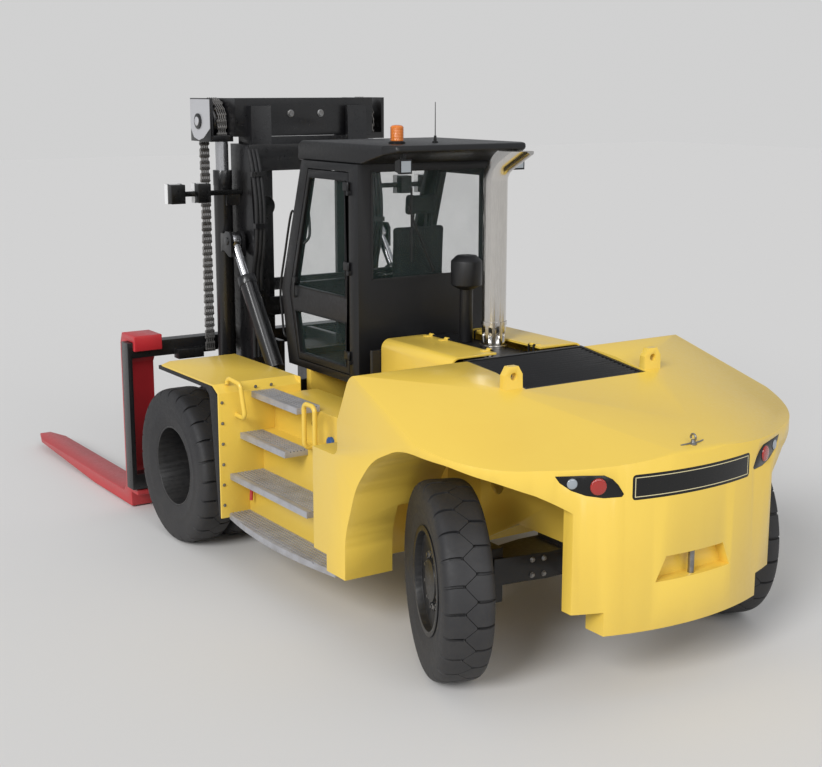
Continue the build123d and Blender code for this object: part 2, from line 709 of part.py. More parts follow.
# Doors: a frame with two windows, hung on the rear pillar
door = side_plate(inset(door_side, door_gap), cab_half - cab_wall, cab_half)
upper_window = [(-958, 2050), (-180, 2050), (-446, 2890), (-958, 2890)]
lower_window = [(-958, 1540), (-268, 1540), (-190, 1865), (-958, 1865)]
for outline in (upper_window, lower_window):
    door -= side_plate(outline, cab_half - cab_wall - 1, cab_half + 1)
door += slab(cab_half, cab_half + 22, -240, -190, 2080, 2120)
for z in hinge_heights:
    door += slab(cab_half + 1.5, cab_half + 9, hinge_y, -940, z + 1, z + 61)
    door += slab(cab_half, cab_half + 9, -1001, -940, z + 1, z + 61)
    door += Pos(hinge_x, hinge_y, z + 31) * Cylinder(hinge_r + 4, 60)
    door -= Pos(hinge_x, hinge_y, z + 31) * Cylinder(hinge_r + hinge_fit, 62)
parts["door_right"] = door
parts["door_left"] = mirrored(door)
glass = side_plate(upper_window, cab_half - 30, cab_half - 30 + glass_t)
glass += side_plate(lower_window, cab_half - 30, cab_half - 30 + glass_t)
parts["door_glass_right"] = glass
parts["door_glass_left"] = mirrored(glass)

# Seat on its base
seat_floor = cab_floor_z + cab_wall
seat = slab(-230, 230, -960, -420, seat_floor, seat_floor + 300)
seat += slab(-250, 250, -980, -380, seat_floor + 300, seat_floor + 430)
seat += side_plate([(-1010, 1860), (-900, 1860), (-940, 2560), (-1030, 2560)], -240, 240)
seat += side_plate([(-1040, 2540), (-960, 2540), (-975, 2790), (-1045, 2790)], -145, 145)
parts["seat"] = seat

# Driver's controls: column, wheel and side console
controls = slab(-70, 70, -300, -220, seat_floor, 2110)
wheel = Torus(190, 14) + Cylinder(40, 30)
for i in range(3):
    wheel += Rot(0, 0, 120 * i) * Pos(100, 0, 0) * Box(190, 24, 12)
controls += Pos(0, -330, 2125) * Rot(-14, 0, 0) * wheel
controls += slab(280, 420, -860, -420, seat_floor, 2130)
controls += rod((350, -470, 2120), (350, -470, 2230), 14)
parts["driver_controls"] = controls

# Beacon and rear work lamps
beacon_place = Pos(-354, -1240, roof_height)
parts["beacon"] = beacon_place * (Pos(0, 0, 10) * Cylinder(60, 20) + Pos(0, 0, 75) * Cylinder(46, 110))
lamps = slab(-516, -416, -1530, -1450, 2960, 3060) + slab(454, 554, -1530, -1450, 2960, 3060)
lamps += slab(-476, -456, -1500, -1480, 3060, 3110) + slab(494, 514, -1500, -1480, 3060, 3110)
lamps -= roof
parts["work_lamps"] = lamps

# Handrails, bent from tube, beside the stairs
rails = []
for sx in (-1, 1):
    rails.append(
        tube(
            [
                (sx * 1350, fender_rear_y + 60, fender_top_z),
                (sx * 1350, fender_rear_y + 60, 1466),
                (sx * 1330, fender_rear_y - 110, 1440),
                (sx * 1310, fender_rear_y - 140, 1190),
                (sx * 1310, fender_rear_y, 1190),
            ],
            17,
            40,
        )
    )
    rails.append(
        tube(
            [
                (sx * 1000, -1330, 1090),
                (sx * 1180, -1330, 1090),
                (sx * 1180, -1330, 1410),
                (sx * 1180, -1480, 1410),
                (sx * 1180, -1480, 1090),
                (sx * 1000, -1480, 1090),
            ],
            17,
            45,
        )
    )
parts["handrails"] = rails[0] + rails[1] + rails[2] + rails[3]

# Tail lamp clusters, set in pockets of the counterweight
lamp_depth = 40.0
lamp_outline = [
    (905, 1405), (760, 1404), (640, 1398), (590, 1372), (555, 1335), (520, 1278),
    (532, 1262), (640, 1263), (740, 1284), (820, 1318), (880, 1365)
]
tail_lamp = front_plate(lamp_outline, tail_y - 13, tail_y + 347)
tail_lamps = tail_lamp + mirrored(tail_lamp)
lamp_body = tail_lamps & tail_prism(body_half, tail_y, 1200, 1450)
lamp_body -= tail_prism(body_half - 12, tail_y + lamp_depth, 1100, 1500)
parts["tail_lamps"] = lamp_body
parts["counterweight"] = parts["counterweight"] - lamp_body

# Outer mast: channel rails, cross ties, tilt brackets and cylinder feet
def channel(x_in, x_out, y0, y1, z0, z1, web, flange):
    """A channel rail that opens towards the mast's middle."""
    hollow = slab(x_in - 1, x_out - web, y0 + flange, y1 - flange, z0 - 1, z1 + 1)
    return slab(x_in, x_out, y0, y1, z0, z1) - hollow


clamp_z = lift_barrel_top_z - 280
outer = channel(
    rail_in_x, rail_out_x, rail_y0, rail_y1, rail_bottom_z, outer_rail_top_z, rail_web, rail_flange
)
outer += side_plate(
    [(rail_y0, 2100), (rail_y0 - 55, 2260), (rail_y0 - 55, 2420), (rail_y0, outer_rail_top_z - 90),
     (rail_y0 + 60, outer_rail_top_z - 90), (rail_y0 + 60, 2100)],
    rail_out_x - 30,
    rail_out_x,
)
for x0 in (tilt_x - tilt_eye_w / 2 - cheek_t - cheek_gap, tilt_x + tilt_eye_w / 2 + cheek_gap):
    cheek = side_plate(
        [(rail_y0 + 20, 2200), (rail_y0 + 65, 2200), (740, 2250), (745, 2360), (690, 2400), (630, 2400),
         (rail_y0 + 20, 2360)],
        x0,
        x0 + cheek_t,
    )
    outer += cheek
cheek_out = tilt_x + tilt_eye_w / 2 + cheek_gap + cheek_t
outer += slab(rail_out_x - 10, cheek_out, 760, 782, 2230, 2380)
outer += slab(cheek_out - cheek_t, cheek_out, 700, 782, 2240, 2380)
outer += slab(2 * tilt_x - cheek_out, 2 * tilt_x - cheek_out + cheek_t, 700, 782, 2240, 2380)
outer += disc_x(tilt_high_y, tilt_high_z, tilt_pin_r, cheek_out, cheek_out + 8)
foot_z, clamp_top = rail_bottom_z + 60, clamp_z + 100
clamp_rear, clamp_front = lift_cyl_y - lift_barrel_r - 32, lift_cyl_y + lift_barrel_r + 32
outer += slab(rail_out_x - 10, lift_cyl_x + 60, lift_cyl_y - 60, lift_cyl_y + 60, rail_bottom_z, foot_z)
outer += slab(rail_out_x - 10, rail_out_x + 20, clamp_rear, clamp_front, clamp_z, clamp_top)
outer += slab(rail_out_x - 10, lift_cyl_x + 20, clamp_front - 30, clamp_front, clamp_z, clamp_top)
outer += slab(rail_out_x - 10, lift_cyl_x + 20, clamp_rear, clamp_rear + 30, clamp_z, clamp_top)
outer -= disc_x(mast_pivot_y, mast_pivot_z, mast_pin_r + mast_pin_fit, rail_in_x, rail_out_x + 1)
outer += mirrored(outer)
for z0, z1 in [(320, 400), (1700, 1850), (outer_rail_top_z - 210, outer_rail_top_z)]:
    outer += slab(-rail_in_x - 4, rail_in_x + 4, rail_y0, rail_y0 + rail_flange, z0, z1)
parts["mast_outer"] = outer

# Lift cylinder barrels
barrels = Pos(lift_cyl_x, lift_cyl_y, 0) * Pos(0, 0, (rail_bottom_z + 60 + lift_barrel_top_z) / 2) * Cylinder(
    lift_barrel_r, lift_barrel_top_z - rail_bottom_z - 60
)
barrels += Pos(lift_cyl_x, lift_cyl_y, lift_barrel_top_z - 60) * Cylinder(lift_barrel_r + 2, 120)
barrels -= Pos(lift_cyl_x, lift_cyl_y, lift_barrel_top_z - 1100) * Cylinder(lift_rod_r + 0.3, 2202)
parts["lift_cylinders"] = barrels + mirrored(barrels)

# Inner mast: rails inside the outer channels, top crosshead with the chain sheaves
gap_in = inner_rail_inset
inner_y0, inner_y1 = rail_y0 + rail_flange + gap_in, rail_y1 - rail_flange - gap_in
inner_out = rail_out_x - rail_web - gap_in
inner_in = 360.0
inner_mast = channel(inner_in, inner_out, inner_y0, inner_y1, rail_bottom_z + 20, mast_height - 60, 40, 40)
seat_top = crosshead_z + 50
inner_mast += slab(lift_cyl_x - 60, lift_cyl_x + 110, lift_cyl_y - 70, lift_cyl_y + 70, crosshead_z, seat_top)
for x0 in (lift_cyl_x - 70, lift_cyl_x + 105):
    inner_mast += slab(x0, x0 + 25, 790, 1160, crosshead_z, mast_height)
inner_mast += disc_x(sheave_y, sheave_z, sheave_r, lift_cyl_x - 45, lift_cyl_x + 45 + 20)
inner_mast += disc_x(sheave_y, sheave_z, 40, lift_cyl_x - 45, lift_cyl_x + 140)
inner_mast += mirrored(inner_mast)
inner_mast += slab(-lift_cyl_x + 45, lift_cyl_x - 45, 700, 900, crosshead_z + 40, mast_height)
for z0, z1 in [(600, 700), (1900, 2000), (crosshead_z - 110, crosshead_z + 40)]:
    inner_mast += slab(-inner_out + 10, inner_out - 10, inner_y0 + 3, inner_y0 + 34, z0, z1)
parts["mast_inner"] = inner_mast

# Lift rods from the barrels to the crosshead
rod_top, rod_foot = crosshead_z, lift_barrel_top_z - 2180
rods = Pos(lift_cyl_x, lift_cyl_y, (rod_top + rod_foot) / 2) * Cylinder(lift_rod_r, rod_top - rod_foot)
parts["lift_rods"] = rods + mirrored(rods)

# Lift chains over the sheaves
chain_out = sheave_r + chain_t
chain = disc_x(sheave_y, sheave_z, chain_out, lift_cyl_x - chain_w / 2 + 10, lift_cyl_x + chain_w / 2 + 10)
chain -= slab(lift_cyl_x - 200, lift_cyl_x + 200, 500, 1600, 2000, sheave_z)
front_y, rear_y = sheave_y + chain_out, sheave_y + sheave_r
link_count = int((sheave_z - bar_upper_z - 10) / chain_pitch)
front_edge, rear_edge = [], []
for i in range(link_count):
    z = sheave_z - i * chain_pitch
    front_edge += [(front_y, z), (front_y - chain_waist, z - chain_pitch / 2)]
    rear_edge += [(rear_y, z), (rear_y + chain_waist, z - chain_pitch / 2)]
strand = front_edge + [(front_y, bar_upper_z + 10), (rear_y, bar_upper_z + 10)] + rear_edge[::-1]
chain += side_plate(strand, lift_cyl_x - chain_w / 2 + 10, lift_cyl_x + chain_w / 2 + 10)
chain -= disc_x(sheave_y, sheave_z, sheave_r, lift_cyl_x - 200, lift_cyl_x + 200)
parts["lift_chains"] = chain + mirrored(chain)

# Mast lamps on their arms and the round mirror
lamp_z = outer_rail_top_z - 375
lamp_arm = slab(rail_out_x, 1180, 700, 740, lamp_z - 25, lamp_z + 15)
for x0, x1 in ((1120, 1240), (900, 1010)):
    lamp_arm += slab(x0, x1, 640, 760, lamp_z - 75, lamp_z + 75)
mirror_z = outer_rail_top_z - 490
mirror_disc = rod((470, rail_y0 - 40, mirror_z), (470, rail_y0 - 20, mirror_z), 85)
mirror_disc += rod((470, rail_y0 - 20, mirror_z), (470, rail_y0, mirror_z), 20)
lamp_set = lamp_arm + mirror_disc
parts["mast_lamps"] = lamp_set + mirrored(lamp_set)

# Carriage: fork bars, end plates, chain anchors and rollers inside the inner rails
bar_y0, bar_y1 = fork_back_y - 160, fork_back_y - 160 + bar_t
roller_y = (inner_y0 + inner_y1) / 2
roller_r = (inner_y1 - inner_y0 - 80) / 2 - roller_clear
carriage = slab(-bar_half, bar_half, bar_y0, bar_y1, bar_upper_z, bar_upper_z + bar_t)
carriage += slab(-bar_half, bar_half, bar_y0, bar_y1, bar_lower_z, bar_lower_z + bar_t)
for sx in (-1, 1):
    carriage += slab(sx * 250, sx * 300, inner_y0 + 46, bar_y1, bar_lower_z, bar_upper_z + bar_t)
    carriage += slab(sx * (bar_half - 40), sx * bar_half, bar_y0, bar_y1, bar_lower_z, bar_upper_z + bar_t)
    for z in (420, 1300):
        carriage += disc_x(roller_y, z, roller_r, sx * 300, sx * 440)
    notch_y = bar_y0 - hook_depth - 10
    carriage -= slab(sx * 240, sx * 310, notch_y, bar_y0, hook_z - 12, bar_upper_z + bar_t + 1)
    carriage += slab(sx * 640, sx * 760, bar_y0 - 43, bar_y0, bar_upper_z, hook_z - 12)
    carriage += slab(sx * 770, sx * 1000, bar_y0 - 90, bar_y0 + 10, bar_upper_z - 30, hook_z - 12)
carriage += slab(-300, 300, 1100, 1140, 700, 1000)
parts["carriage"] = carriage

# Forks: shank, blade and hooks over the bars
def make_fork():
    """One fork centred at x = 0."""
    blade = side_plate(
        [
            (fork_back_y, fork_floor),
            (fork_back_y + 900, fork_floor),
            (fork_tip_y, fork_top_face - fork_tip_t),
            (fork_tip_y, fork_top_face),
            (fork_back_y + fork_t + 60, fork_top_face),
            (fork_back_y + fork_t, fork_top_face + 60),
            (fork_back_y + fork_t, fork_top_z - 90),
            (fork_back_y + fork_t - 40, fork_top_z),
            (bar_y0 - hook_depth, fork_top_z),
            (bar_y0 - hook_depth, hook_z),
            (bar_y0 - bar_clear, hook_z),
            (bar_y0 - bar_clear, bar_upper_z + bar_t + bar_clear),
            (bar_y1 + bar_clear, bar_upper_z + bar_t + bar_clear),
            (bar_y1 + bar_clear, bar_upper_z - 30),
            (fork_back_y, bar_upper_z - 70),
        ],
        -fork_w / 2,
        fork_w / 2,
    )
    taper = plan_plate(
        [
            (-fork_w / 2, fork_back_y - 400),
            (-fork_w / 2, fork_tip_y - 250),
            (-fork_w / 2 + 70, fork_tip_y),
            (fork_w / 2 - 70, fork_tip_y),
            (fork_w / 2, fork_tip_y - 250),
            (fork_w / 2, fork_back_y - 400),
        ],
        0,
        2000,
    )
    foot = side_plate(
        [
            (bar_y1 + bar_clear, bar_lower_z + bar_t - 10),
            (fork_back_y, bar_lower_z + bar_t + 30),
            (fork_back_y, bar_lower_z - 60),
            (bar_y0 + 20, bar_lower_z - 60),
            (bar_y0 + 20, bar_lower_z - 12),
            (bar_y1 + bar_clear, bar_lower_z - 12),
        ],
        -fork_w / 2,
        fork_w / 2,
    )
    return (blade & taper) + foot


fork = make_fork()
parts["fork_left"] = Pos(-fork_x, 0, 0) * fork
parts["fork_right"] = Pos(fork_x, 0, 0) * fork

# Tilt cylinders: barrel with its eye on the frame bracket, rod with its eye at the mast cheeks
tilt_angle = atan2(tilt_high_z - tilt_low_z, tilt_high_y - tilt_low_y)
tilt_span = hypot(tilt_high_z - tilt_low_z, tilt_high_y - tilt_low_y)
along = Vector(0, cos(tilt_angle), sin(tilt_angle))
low = Vector(tilt_x, tilt_low_y, tilt_low_z)
high = Vector(tilt_x, tilt_high_y, tilt_high_z)


def cylinder_between(start, end, radius):
    """A round bar between two vectors."""
    return rod(tuple(start), tuple(end), radius)


barrel = disc_x(tilt_low_y, tilt_low_z, tilt_eye_r, tilt_x - tilt_eye_w / 2, tilt_x + tilt_eye_w / 2)
barrel += cylinder_between(low + along * 20, low + along * 130, tilt_eye_w / 2 - 2)
barrel += cylinder_between(low + along * 110, low + along * tilt_barrel_len, tilt_barrel_r)
gland_end = low + along * tilt_barrel_len
barrel += cylinder_between(gland_end - along * 70, gland_end, tilt_barrel_r + 6)
barrel -= cylinder_between(low + along * 220, low + along * (tilt_barrel_len + 1), tilt_rod_r + 0.3)
barrel -= disc_x(tilt_low_y, tilt_low_z, tilt_pin_r + tilt_pin_fit, tilt_x - 200, tilt_x + 200)
trod = cylinder_between(low + along * 480, high - along * 30, tilt_rod_r)
trod += disc_x(tilt_high_y, tilt_high_z, tilt_eye_r, tilt_x - tilt_eye_w / 2, tilt_x + tilt_eye_w / 2)
parts["tilt_barrel_right"] = barrel
parts["tilt_barrel_left"] = mirrored(barrel)
parts["tilt_rod_right"] = trod
parts["tilt_rod_left"] = mirrored(trod)

# Frame brackets for the tilt cylinders, with their pins
mount_out_x = tilt_x + tilt_eye_w / 2 + clevis_gap + cheek_t
mount = slab(frame_front_x - 20, mount_out_x, tilt_low_y - 150, tilt_low_y + 90, 1060, 1100)
for x0 in (tilt_x - tilt_eye_w / 2 - cheek_t - clevis_gap, tilt_x + tilt_eye_w / 2 + clevis_gap):
    mount += side_plate(
        [(tilt_low_y - 150, 1100), (tilt_low_y - 150, 1160), (tilt_low_y - 68, 1310), (tilt_low_y - 30, 1345),
         (tilt_low_y + 5, 1352), (tilt_low_y + 62, 1290), (tilt_low_y + 90, 1100)],
        x0,
        x0 + cheek_t,
    )
mount += disc_x(
    tilt_low_y,
    tilt_low_z,
    tilt_pin_r,
    tilt_x - tilt_eye_w / 2 - cheek_t - clevis_gap - 2,
    tilt_x + tilt_eye_w / 2 + cheek_t + clevis_gap + 2,
)
parts["chassis_frame"] = parts["chassis_frame"] + mount + mirrored(mount)

# The truck's box is centred on the origin
middle_y = (fork_tip_y + tail_y) / 2
if middle_y != 0:
    parts = {name: Pos(0, -middle_y, 0) * shape for name, shape in parts.items()}

for name, shape in parts.items():
    print(name, round(shape.volume / 1e9, 4), len(shape.solids()), shape.is_valid)

os.makedirs("parts", exist_ok=True)
for name, shape in parts.items():
    export_step(shape, "parts/" + name + ".step")
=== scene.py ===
import json
from math import cos, pi, radians, sin

import bmesh
import bpy
from bpy.props import FloatProperty, FloatVectorProperty, IntProperty, PointerProperty
from mathutils import Matrix, Vector


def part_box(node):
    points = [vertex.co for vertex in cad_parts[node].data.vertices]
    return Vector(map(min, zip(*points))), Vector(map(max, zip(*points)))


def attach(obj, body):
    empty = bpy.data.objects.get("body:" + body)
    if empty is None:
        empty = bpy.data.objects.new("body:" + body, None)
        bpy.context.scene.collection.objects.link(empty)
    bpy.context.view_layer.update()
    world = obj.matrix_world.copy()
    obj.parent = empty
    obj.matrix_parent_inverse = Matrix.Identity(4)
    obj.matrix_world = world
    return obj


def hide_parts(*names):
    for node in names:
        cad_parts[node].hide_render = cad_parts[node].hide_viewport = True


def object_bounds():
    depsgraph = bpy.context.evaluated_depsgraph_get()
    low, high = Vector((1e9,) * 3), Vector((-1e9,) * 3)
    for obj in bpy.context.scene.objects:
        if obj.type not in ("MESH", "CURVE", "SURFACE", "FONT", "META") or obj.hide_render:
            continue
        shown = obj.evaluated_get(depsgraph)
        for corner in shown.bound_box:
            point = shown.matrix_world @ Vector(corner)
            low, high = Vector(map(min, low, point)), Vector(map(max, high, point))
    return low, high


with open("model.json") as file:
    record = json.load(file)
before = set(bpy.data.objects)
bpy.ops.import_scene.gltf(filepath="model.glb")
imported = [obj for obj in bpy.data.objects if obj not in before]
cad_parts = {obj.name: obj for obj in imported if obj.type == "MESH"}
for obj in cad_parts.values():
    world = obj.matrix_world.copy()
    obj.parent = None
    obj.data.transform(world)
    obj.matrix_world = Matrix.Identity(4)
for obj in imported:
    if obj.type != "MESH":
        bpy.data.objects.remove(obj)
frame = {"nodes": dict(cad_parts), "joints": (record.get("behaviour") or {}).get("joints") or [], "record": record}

bl_info = {
    "name": "Counterbalance Truck Dresser",
    "version": (1, 0, 0),
    "blender": (4, 5, 0),
    "location": "View3D > Sidebar > Truck",
    "description": "Dresses the packed forklift frame with tyres, paint, lamps, chains and trim",
    "category": "Object",
}

CAD_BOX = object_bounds()
NODES = frame["nodes"]
NODE_SLOT = {s["node"]: s["material_slot"] for s in frame["record"]["subparts"]}
NODE_BODY = {n: b for b, ns in frame["record"]["behaviour"]["bodies"].items() for n in ns}
SIDES = (("left", -1), ("right", 1))


class TruckSizes(bpy.types.PropertyGroup):
    """Sizes that shape the added pieces, in metres"""

    tyre_pitches: IntProperty(name="Tread pitches", description="Tread blocks round a tyre", default=24, min=8)
    groove_depth: FloatProperty(name="Groove depth", description="Depth of the tread grooves",
                                default=0.020, unit="LENGTH")
    lens_length: FloatProperty(name="Lens", description="Camera focal length in millimetres", default=61.62)


class TruckColours(bpy.types.PropertyGroup):
    """Paint and rubber colours, linear"""

    yellow: FloatVectorProperty(name="Yellow", description="Body paint", subtype="COLOR",
                                default=(0.80, 0.555, 0.082))
    black: FloatVectorProperty(name="Black", description="Cab and frame paint", subtype="COLOR",
                               default=(0.007, 0.007, 0.008))
    red: FloatVectorProperty(name="Red", description="Fork paint", subtype="COLOR", default=(0.50, 0.022, 0.03))
    rubber: FloatVectorProperty(name="Rubber", description="Tyre rubber", subtype="COLOR",
                                default=(0.017, 0.017, 0.019))


def sizes():
    """The scene's truck sizes."""
    return bpy.context.scene.truck_sizes


def colours():
    """The scene's truck colours."""
    return bpy.context.scene.truck_colours


# Shader helpers


def feed(tree, sockets, inputs):
    """Gives each named socket a value, or a link from another node's socket."""
    for key, value in inputs.items():
        if isinstance(value, bpy.types.NodeSocket):
            tree.links.new(value, sockets[key])
        else:
            sockets[key].default_value = value


def add_node(tree, kind, inputs, **settings):
    """A node with its settings, whose inputs take values or other nodes' sockets."""
    node = tree.nodes.new(kind)
    for key, value in settings.items():
        setattr(node, key, value)
    feed(tree, node.inputs, inputs)
    return node


def object_place(tree):
    """The Object coordinates that every pattern reads."""
    return tree.nodes.new("ShaderNodeTexCoord").outputs["Object"]


def noise(tree, vector, scale, detail, rough=0.55):
    """A noise texture node on a vector socket."""
    inputs = {"Vector": vector, "Scale": scale, "Detail": detail, "Roughness": rough}
    return add_node(tree, "ShaderNodeTexNoise", inputs).outputs["Fac"]


def spread(tree, value, low, high, to_low, to_high):
    """A clamped map range from one span to another; each end is a number or a socket."""
    inputs = {"Value": value, "From Min": low, "From Max": high, "To Min": to_low, "To Max": to_high}
    return add_node(tree, "ShaderNodeMapRange", inputs).outputs["Result"]


def mixed(tree, factor, a, b):
    """A colour mix by a factor socket."""
    return add_node(tree, "ShaderNodeMix", {"Factor": factor, "A": a, "B": b}, data_type="RGBA").outputs["Result"]


def mixed_dim(tree, factor, color, share):
    """A mix between a colour and a share of its own brightness, by a factor socket."""
    return mixed(tree, factor, (*color, 1), (*[share * c for c in color], 1))


def relief(tree, height, strength, depth):
    """Bump from a height socket on the tree's shader."""
    bump = add_node(tree, "ShaderNodeBump", {"Strength": strength, "Distance": depth, "Height": height})
    tree.links.new(bump.outputs["Normal"], tree.nodes["Principled BSDF"].inputs["Normal"])


def surface_group():
    """Colour variation, dust in low places and fine relief, shared by every painted or moulded finish."""
    name = "truck surface"
    if name in bpy.data.node_groups:
        return bpy.data.node_groups[name]
    tree = bpy.data.node_groups.new(name, "ShaderNodeTree")
    inputs = {"Color": (0.5, 0.5, 0.5, 1), "Worn Color": (0.4, 0.4, 0.4, 1), "Dust Color": (0.3, 0.27, 0.23, 1),
              "Patch Scale": 2.0, "Patch": 0.3, "Dust": 0.2, "Grain Scale": 300.0, "Gloss Low": 0.25,
              "Gloss High": 0.45}
    for label, value in inputs.items():
        kind = "NodeSocketFloat" if isinstance(value, float) else "NodeSocketColor"
        tree.interface.new_socket(name=label, in_out="INPUT", socket_type=kind).default_value = value
    outputs = {"Color": "NodeSocketColor", "Roughness": "NodeSocketFloat", "Height": "NodeSocketFloat"}
    for label, kind in outputs.items():
        tree.interface.new_socket(name=label, in_out="OUTPUT", socket_type=kind)
    head, tail = tree.nodes.new("NodeGroupInput").outputs, tree.nodes.new("NodeGroupOutput").inputs
    place = object_place(tree)
    patches = noise(tree, place, head["Patch Scale"], 5)
    grain = noise(tree, place, head["Grain Scale"], 2)
    speckle = noise(tree, place, 38.0, 6, 0.7)
    patch_mask = spread(tree, patches, 0.42, 0.68, 0.0, head["Patch"])
    shade = mixed(tree, patch_mask, head["Color"], head["Worn Color"])
    split = add_node(tree, "ShaderNodeSeparateXYZ", {"Vector": place})
    low_places = spread(tree, split.outputs["Z"], 0.0, 1.1, head["Dust"], 0.0)
    flecks = spread(tree, speckle, 0.35, 0.65, 0.15, 1.0)
    dusty = add_node(tree, "ShaderNodeMath", {0: low_places, 1: flecks}, operation="MULTIPLY")
    feed(tree, tail, {
        "Color": mixed(tree, dusty.outputs["Value"], shade, head["Dust Color"]),
        "Roughness": spread(tree, speckle, 0.3, 0.7, head["Gloss Low"], head["Gloss High"]),
        "Height": grain})
    return tree


def material_builder(build):
    """Turns a function that fills a shader tree into one that makes a named material once."""

    def get(name, *args, **options):
        """The named material, built the first time that it is asked for."""
        if name not in bpy.data.materials:
            material = bpy.data.materials.new(name)
            material.use_nodes = True
            tree = material.node_tree
            build(material, tree, tree.nodes["Principled BSDF"].inputs, *args, **options)
        return bpy.data.materials[name]

    return get


@material_builder
def finish(material, tree, shader, color, worn=None, dust=0.15, patch=0.3, patch_scale=2.0, grain=300.0,
           gloss=(0.3, 0.45), bump=0.05, depth=0.002, metallic=0.0, coat=0.0, specular=0.5):
    """A paint, rubber or plastic made of the shared surface group."""
    group = tree.nodes.new("ShaderNodeGroup")
    group.node_tree = surface_group()
    worn = worn or tuple(0.72 * c for c in color)
    feed(tree, group.inputs, {
        "Color": (*color, 1), "Worn Color": (*worn, 1), "Patch Scale": patch_scale, "Patch": patch,
        "Dust": dust, "Grain Scale": grain, "Gloss Low": gloss[0], "Gloss High": gloss[1]})
    relief(tree, group.outputs["Height"], bump, depth)
    feed(tree, shader, {
        "Base Color": group.outputs["Color"], "Roughness": group.outputs["Roughness"], "Metallic": metallic,
        "Coat Weight": coat, "Coat Roughness": 0.12, "Specular IOR Level": specular})


@material_builder
def window_glass(material, tree, shader, tint, alpha):
    """Thin tinted glass that lets the far side show."""
    smear = noise(tree, object_place(tree), 3.0, 4)
    feed(tree, shader, {"Alpha": spread(tree, smear, 0.3, 0.7, alpha, alpha + 0.04),
                        "Base Color": (*tint, 1), "Roughness": 0.03, "Metallic": 0.0})
    material.surface_render_method = "DITHERED"


@material_builder
def lamp_lens(material, tree, shader, color):
    """A ribbed moulded lens."""
    ribs = add_node(tree, "ShaderNodeTexWave", {"Scale": 60.0, "Vector": object_place(tree)}).outputs["Fac"]
    relief(tree, ribs, 0.35, 0.002)
    feed(tree, shader, {"Base Color": mixed_dim(tree, ribs, color, 0.6), "Roughness": 0.12, "Coat Weight": 0.8})


@material_builder
def brushed(material, tree, shader, color, stretch, gloss=(0.2, 0.34)):
    """Bare metal with a brushed grain drawn out along one axis."""
    mapping = add_node(tree, "ShaderNodeMapping", {"Scale": stretch, "Vector": object_place(tree)})
    streaks = noise(tree, mapping.outputs["Vector"], 60.0, 6, 0.7)
    relief(tree, streaks, 0.12, 0.001)
    feed(tree, shader, {"Base Color": mixed_dim(tree, streaks, color, 0.7),
                        "Roughness": spread(tree, streaks, 0.3, 0.7, *gloss), "Metallic": 1.0})


def clear_lens():
    """The finish of a clear lamp glass over its reflector."""
    return finish("clear lens", (0.30, 0.33, 0.36), gloss=(0.08, 0.15), bump=0.1, grain=90, coat=0.6)


def plated():
    """The finish of nuts, bolts and small hardware."""
    return finish("plated steel", (0.30, 0.30, 0.30), (0.14, 0.12, 0.10), dust=0.25, patch=0.6, patch_scale=20,
                  gloss=(0.25, 0.45), bump=0.05, metallic=0.9)


def slot_materials():
    """The finished material of each slot that the record names."""
    c = colours()
    return {
        "yellow_paint": finish("yellow enamel", c.yellow, (0.74, 0.47, 0.06), dust=0.05, patch=0.25,
                               patch_scale=1.4, grain=220, gloss=(0.28, 0.40), bump=0.04, coat=0.25),
        "black_paint": finish("black satin paint", c.black, (0.012, 0.012, 0.012), dust=0.04, patch=0.4,
                              gloss=(0.36, 0.52), bump=0.06, coat=0.05, specular=0.4),
        "mast_black": finish("mast enamel", (0.006, 0.006, 0.007), (0.014, 0.013, 0.012), dust=0.05, patch=0.5,
                             gloss=(0.24, 0.42), bump=0.05, coat=0.2),
        "fork_red": finish("fork enamel", c.red, (0.33, 0.02, 0.022), dust=0.12, patch=0.5, gloss=(0.32, 0.5),
                           bump=0.06, coat=0.15),
        "engine_grey": finish("cast engine grey", (0.07, 0.07, 0.075), dust=0.3, patch=0.6, grain=120,
                              gloss=(0.5, 0.7), bump=0.3),
        "tyre_rubber": finish("tyre rubber", c.rubber, (0.028, 0.027, 0.027), dust=0.07, patch=0.6,
                              patch_scale=6.0, grain=420, gloss=(0.55, 0.75), bump=0.25),
        "guard_rubber": finish("guard rubber", (0.010, 0.010, 0.011), dust=0.06, grain=500, gloss=(0.55, 0.8),
                               bump=0.2),
        "rim_black": finish("rim enamel", (0.010, 0.010, 0.011), (0.02, 0.019, 0.018), dust=0.05, patch=0.6,
                            patch_scale=7.0, gloss=(0.3, 0.5), bump=0.08),
        "tread_aluminium": finish("tread aluminium", (0.40, 0.40, 0.42), (0.27, 0.26, 0.26), dust=0.05, patch=0.6,
                                  patch_scale=9, gloss=(0.35, 0.5), bump=0.15, metallic=0.25),
        "stack_steel": brushed("stack steel", (0.74, 0.71, 0.67), (3, 3, 0.15), (0.14, 0.26)),
        "rod_chrome": brushed("rod chrome", (0.62, 0.62, 0.64), (3, 3, 0.3), (0.2, 0.3)),
        "chain_steel": finish("oiled chain", (0.30, 0.29, 0.28), (0.12, 0.11, 0.10), patch=0.6, gloss=(0.25, 0.45),
                              metallic=0.7),
        "cab_glass": window_glass("tinted pane", (0.05, 0.09, 0.08), 0.07),
        "seat_fabric": finish("seat fabric", (0.009, 0.009, 0.010), grain=700, gloss=(0.8, 0.95), bump=0.5),
        "control_plastic": finish("console plastic", (0.012, 0.012, 0.013), grain=500, gloss=(0.45, 0.6), bump=0.2),
        "amber_lens": lamp_lens("amber lens", (0.85, 0.22, 0.015)),
        "lamp_black": finish("lamp housing", (0.005, 0.005, 0.005), gloss=(0.25, 0.35), bump=0.02, coat=0.2,
                             specular=0.3),
        "filter_plastic": finish("filter plastic", (0.009, 0.009, 0.010), gloss=(0.4, 0.55), bump=0.15),
    }


# Mesh helpers


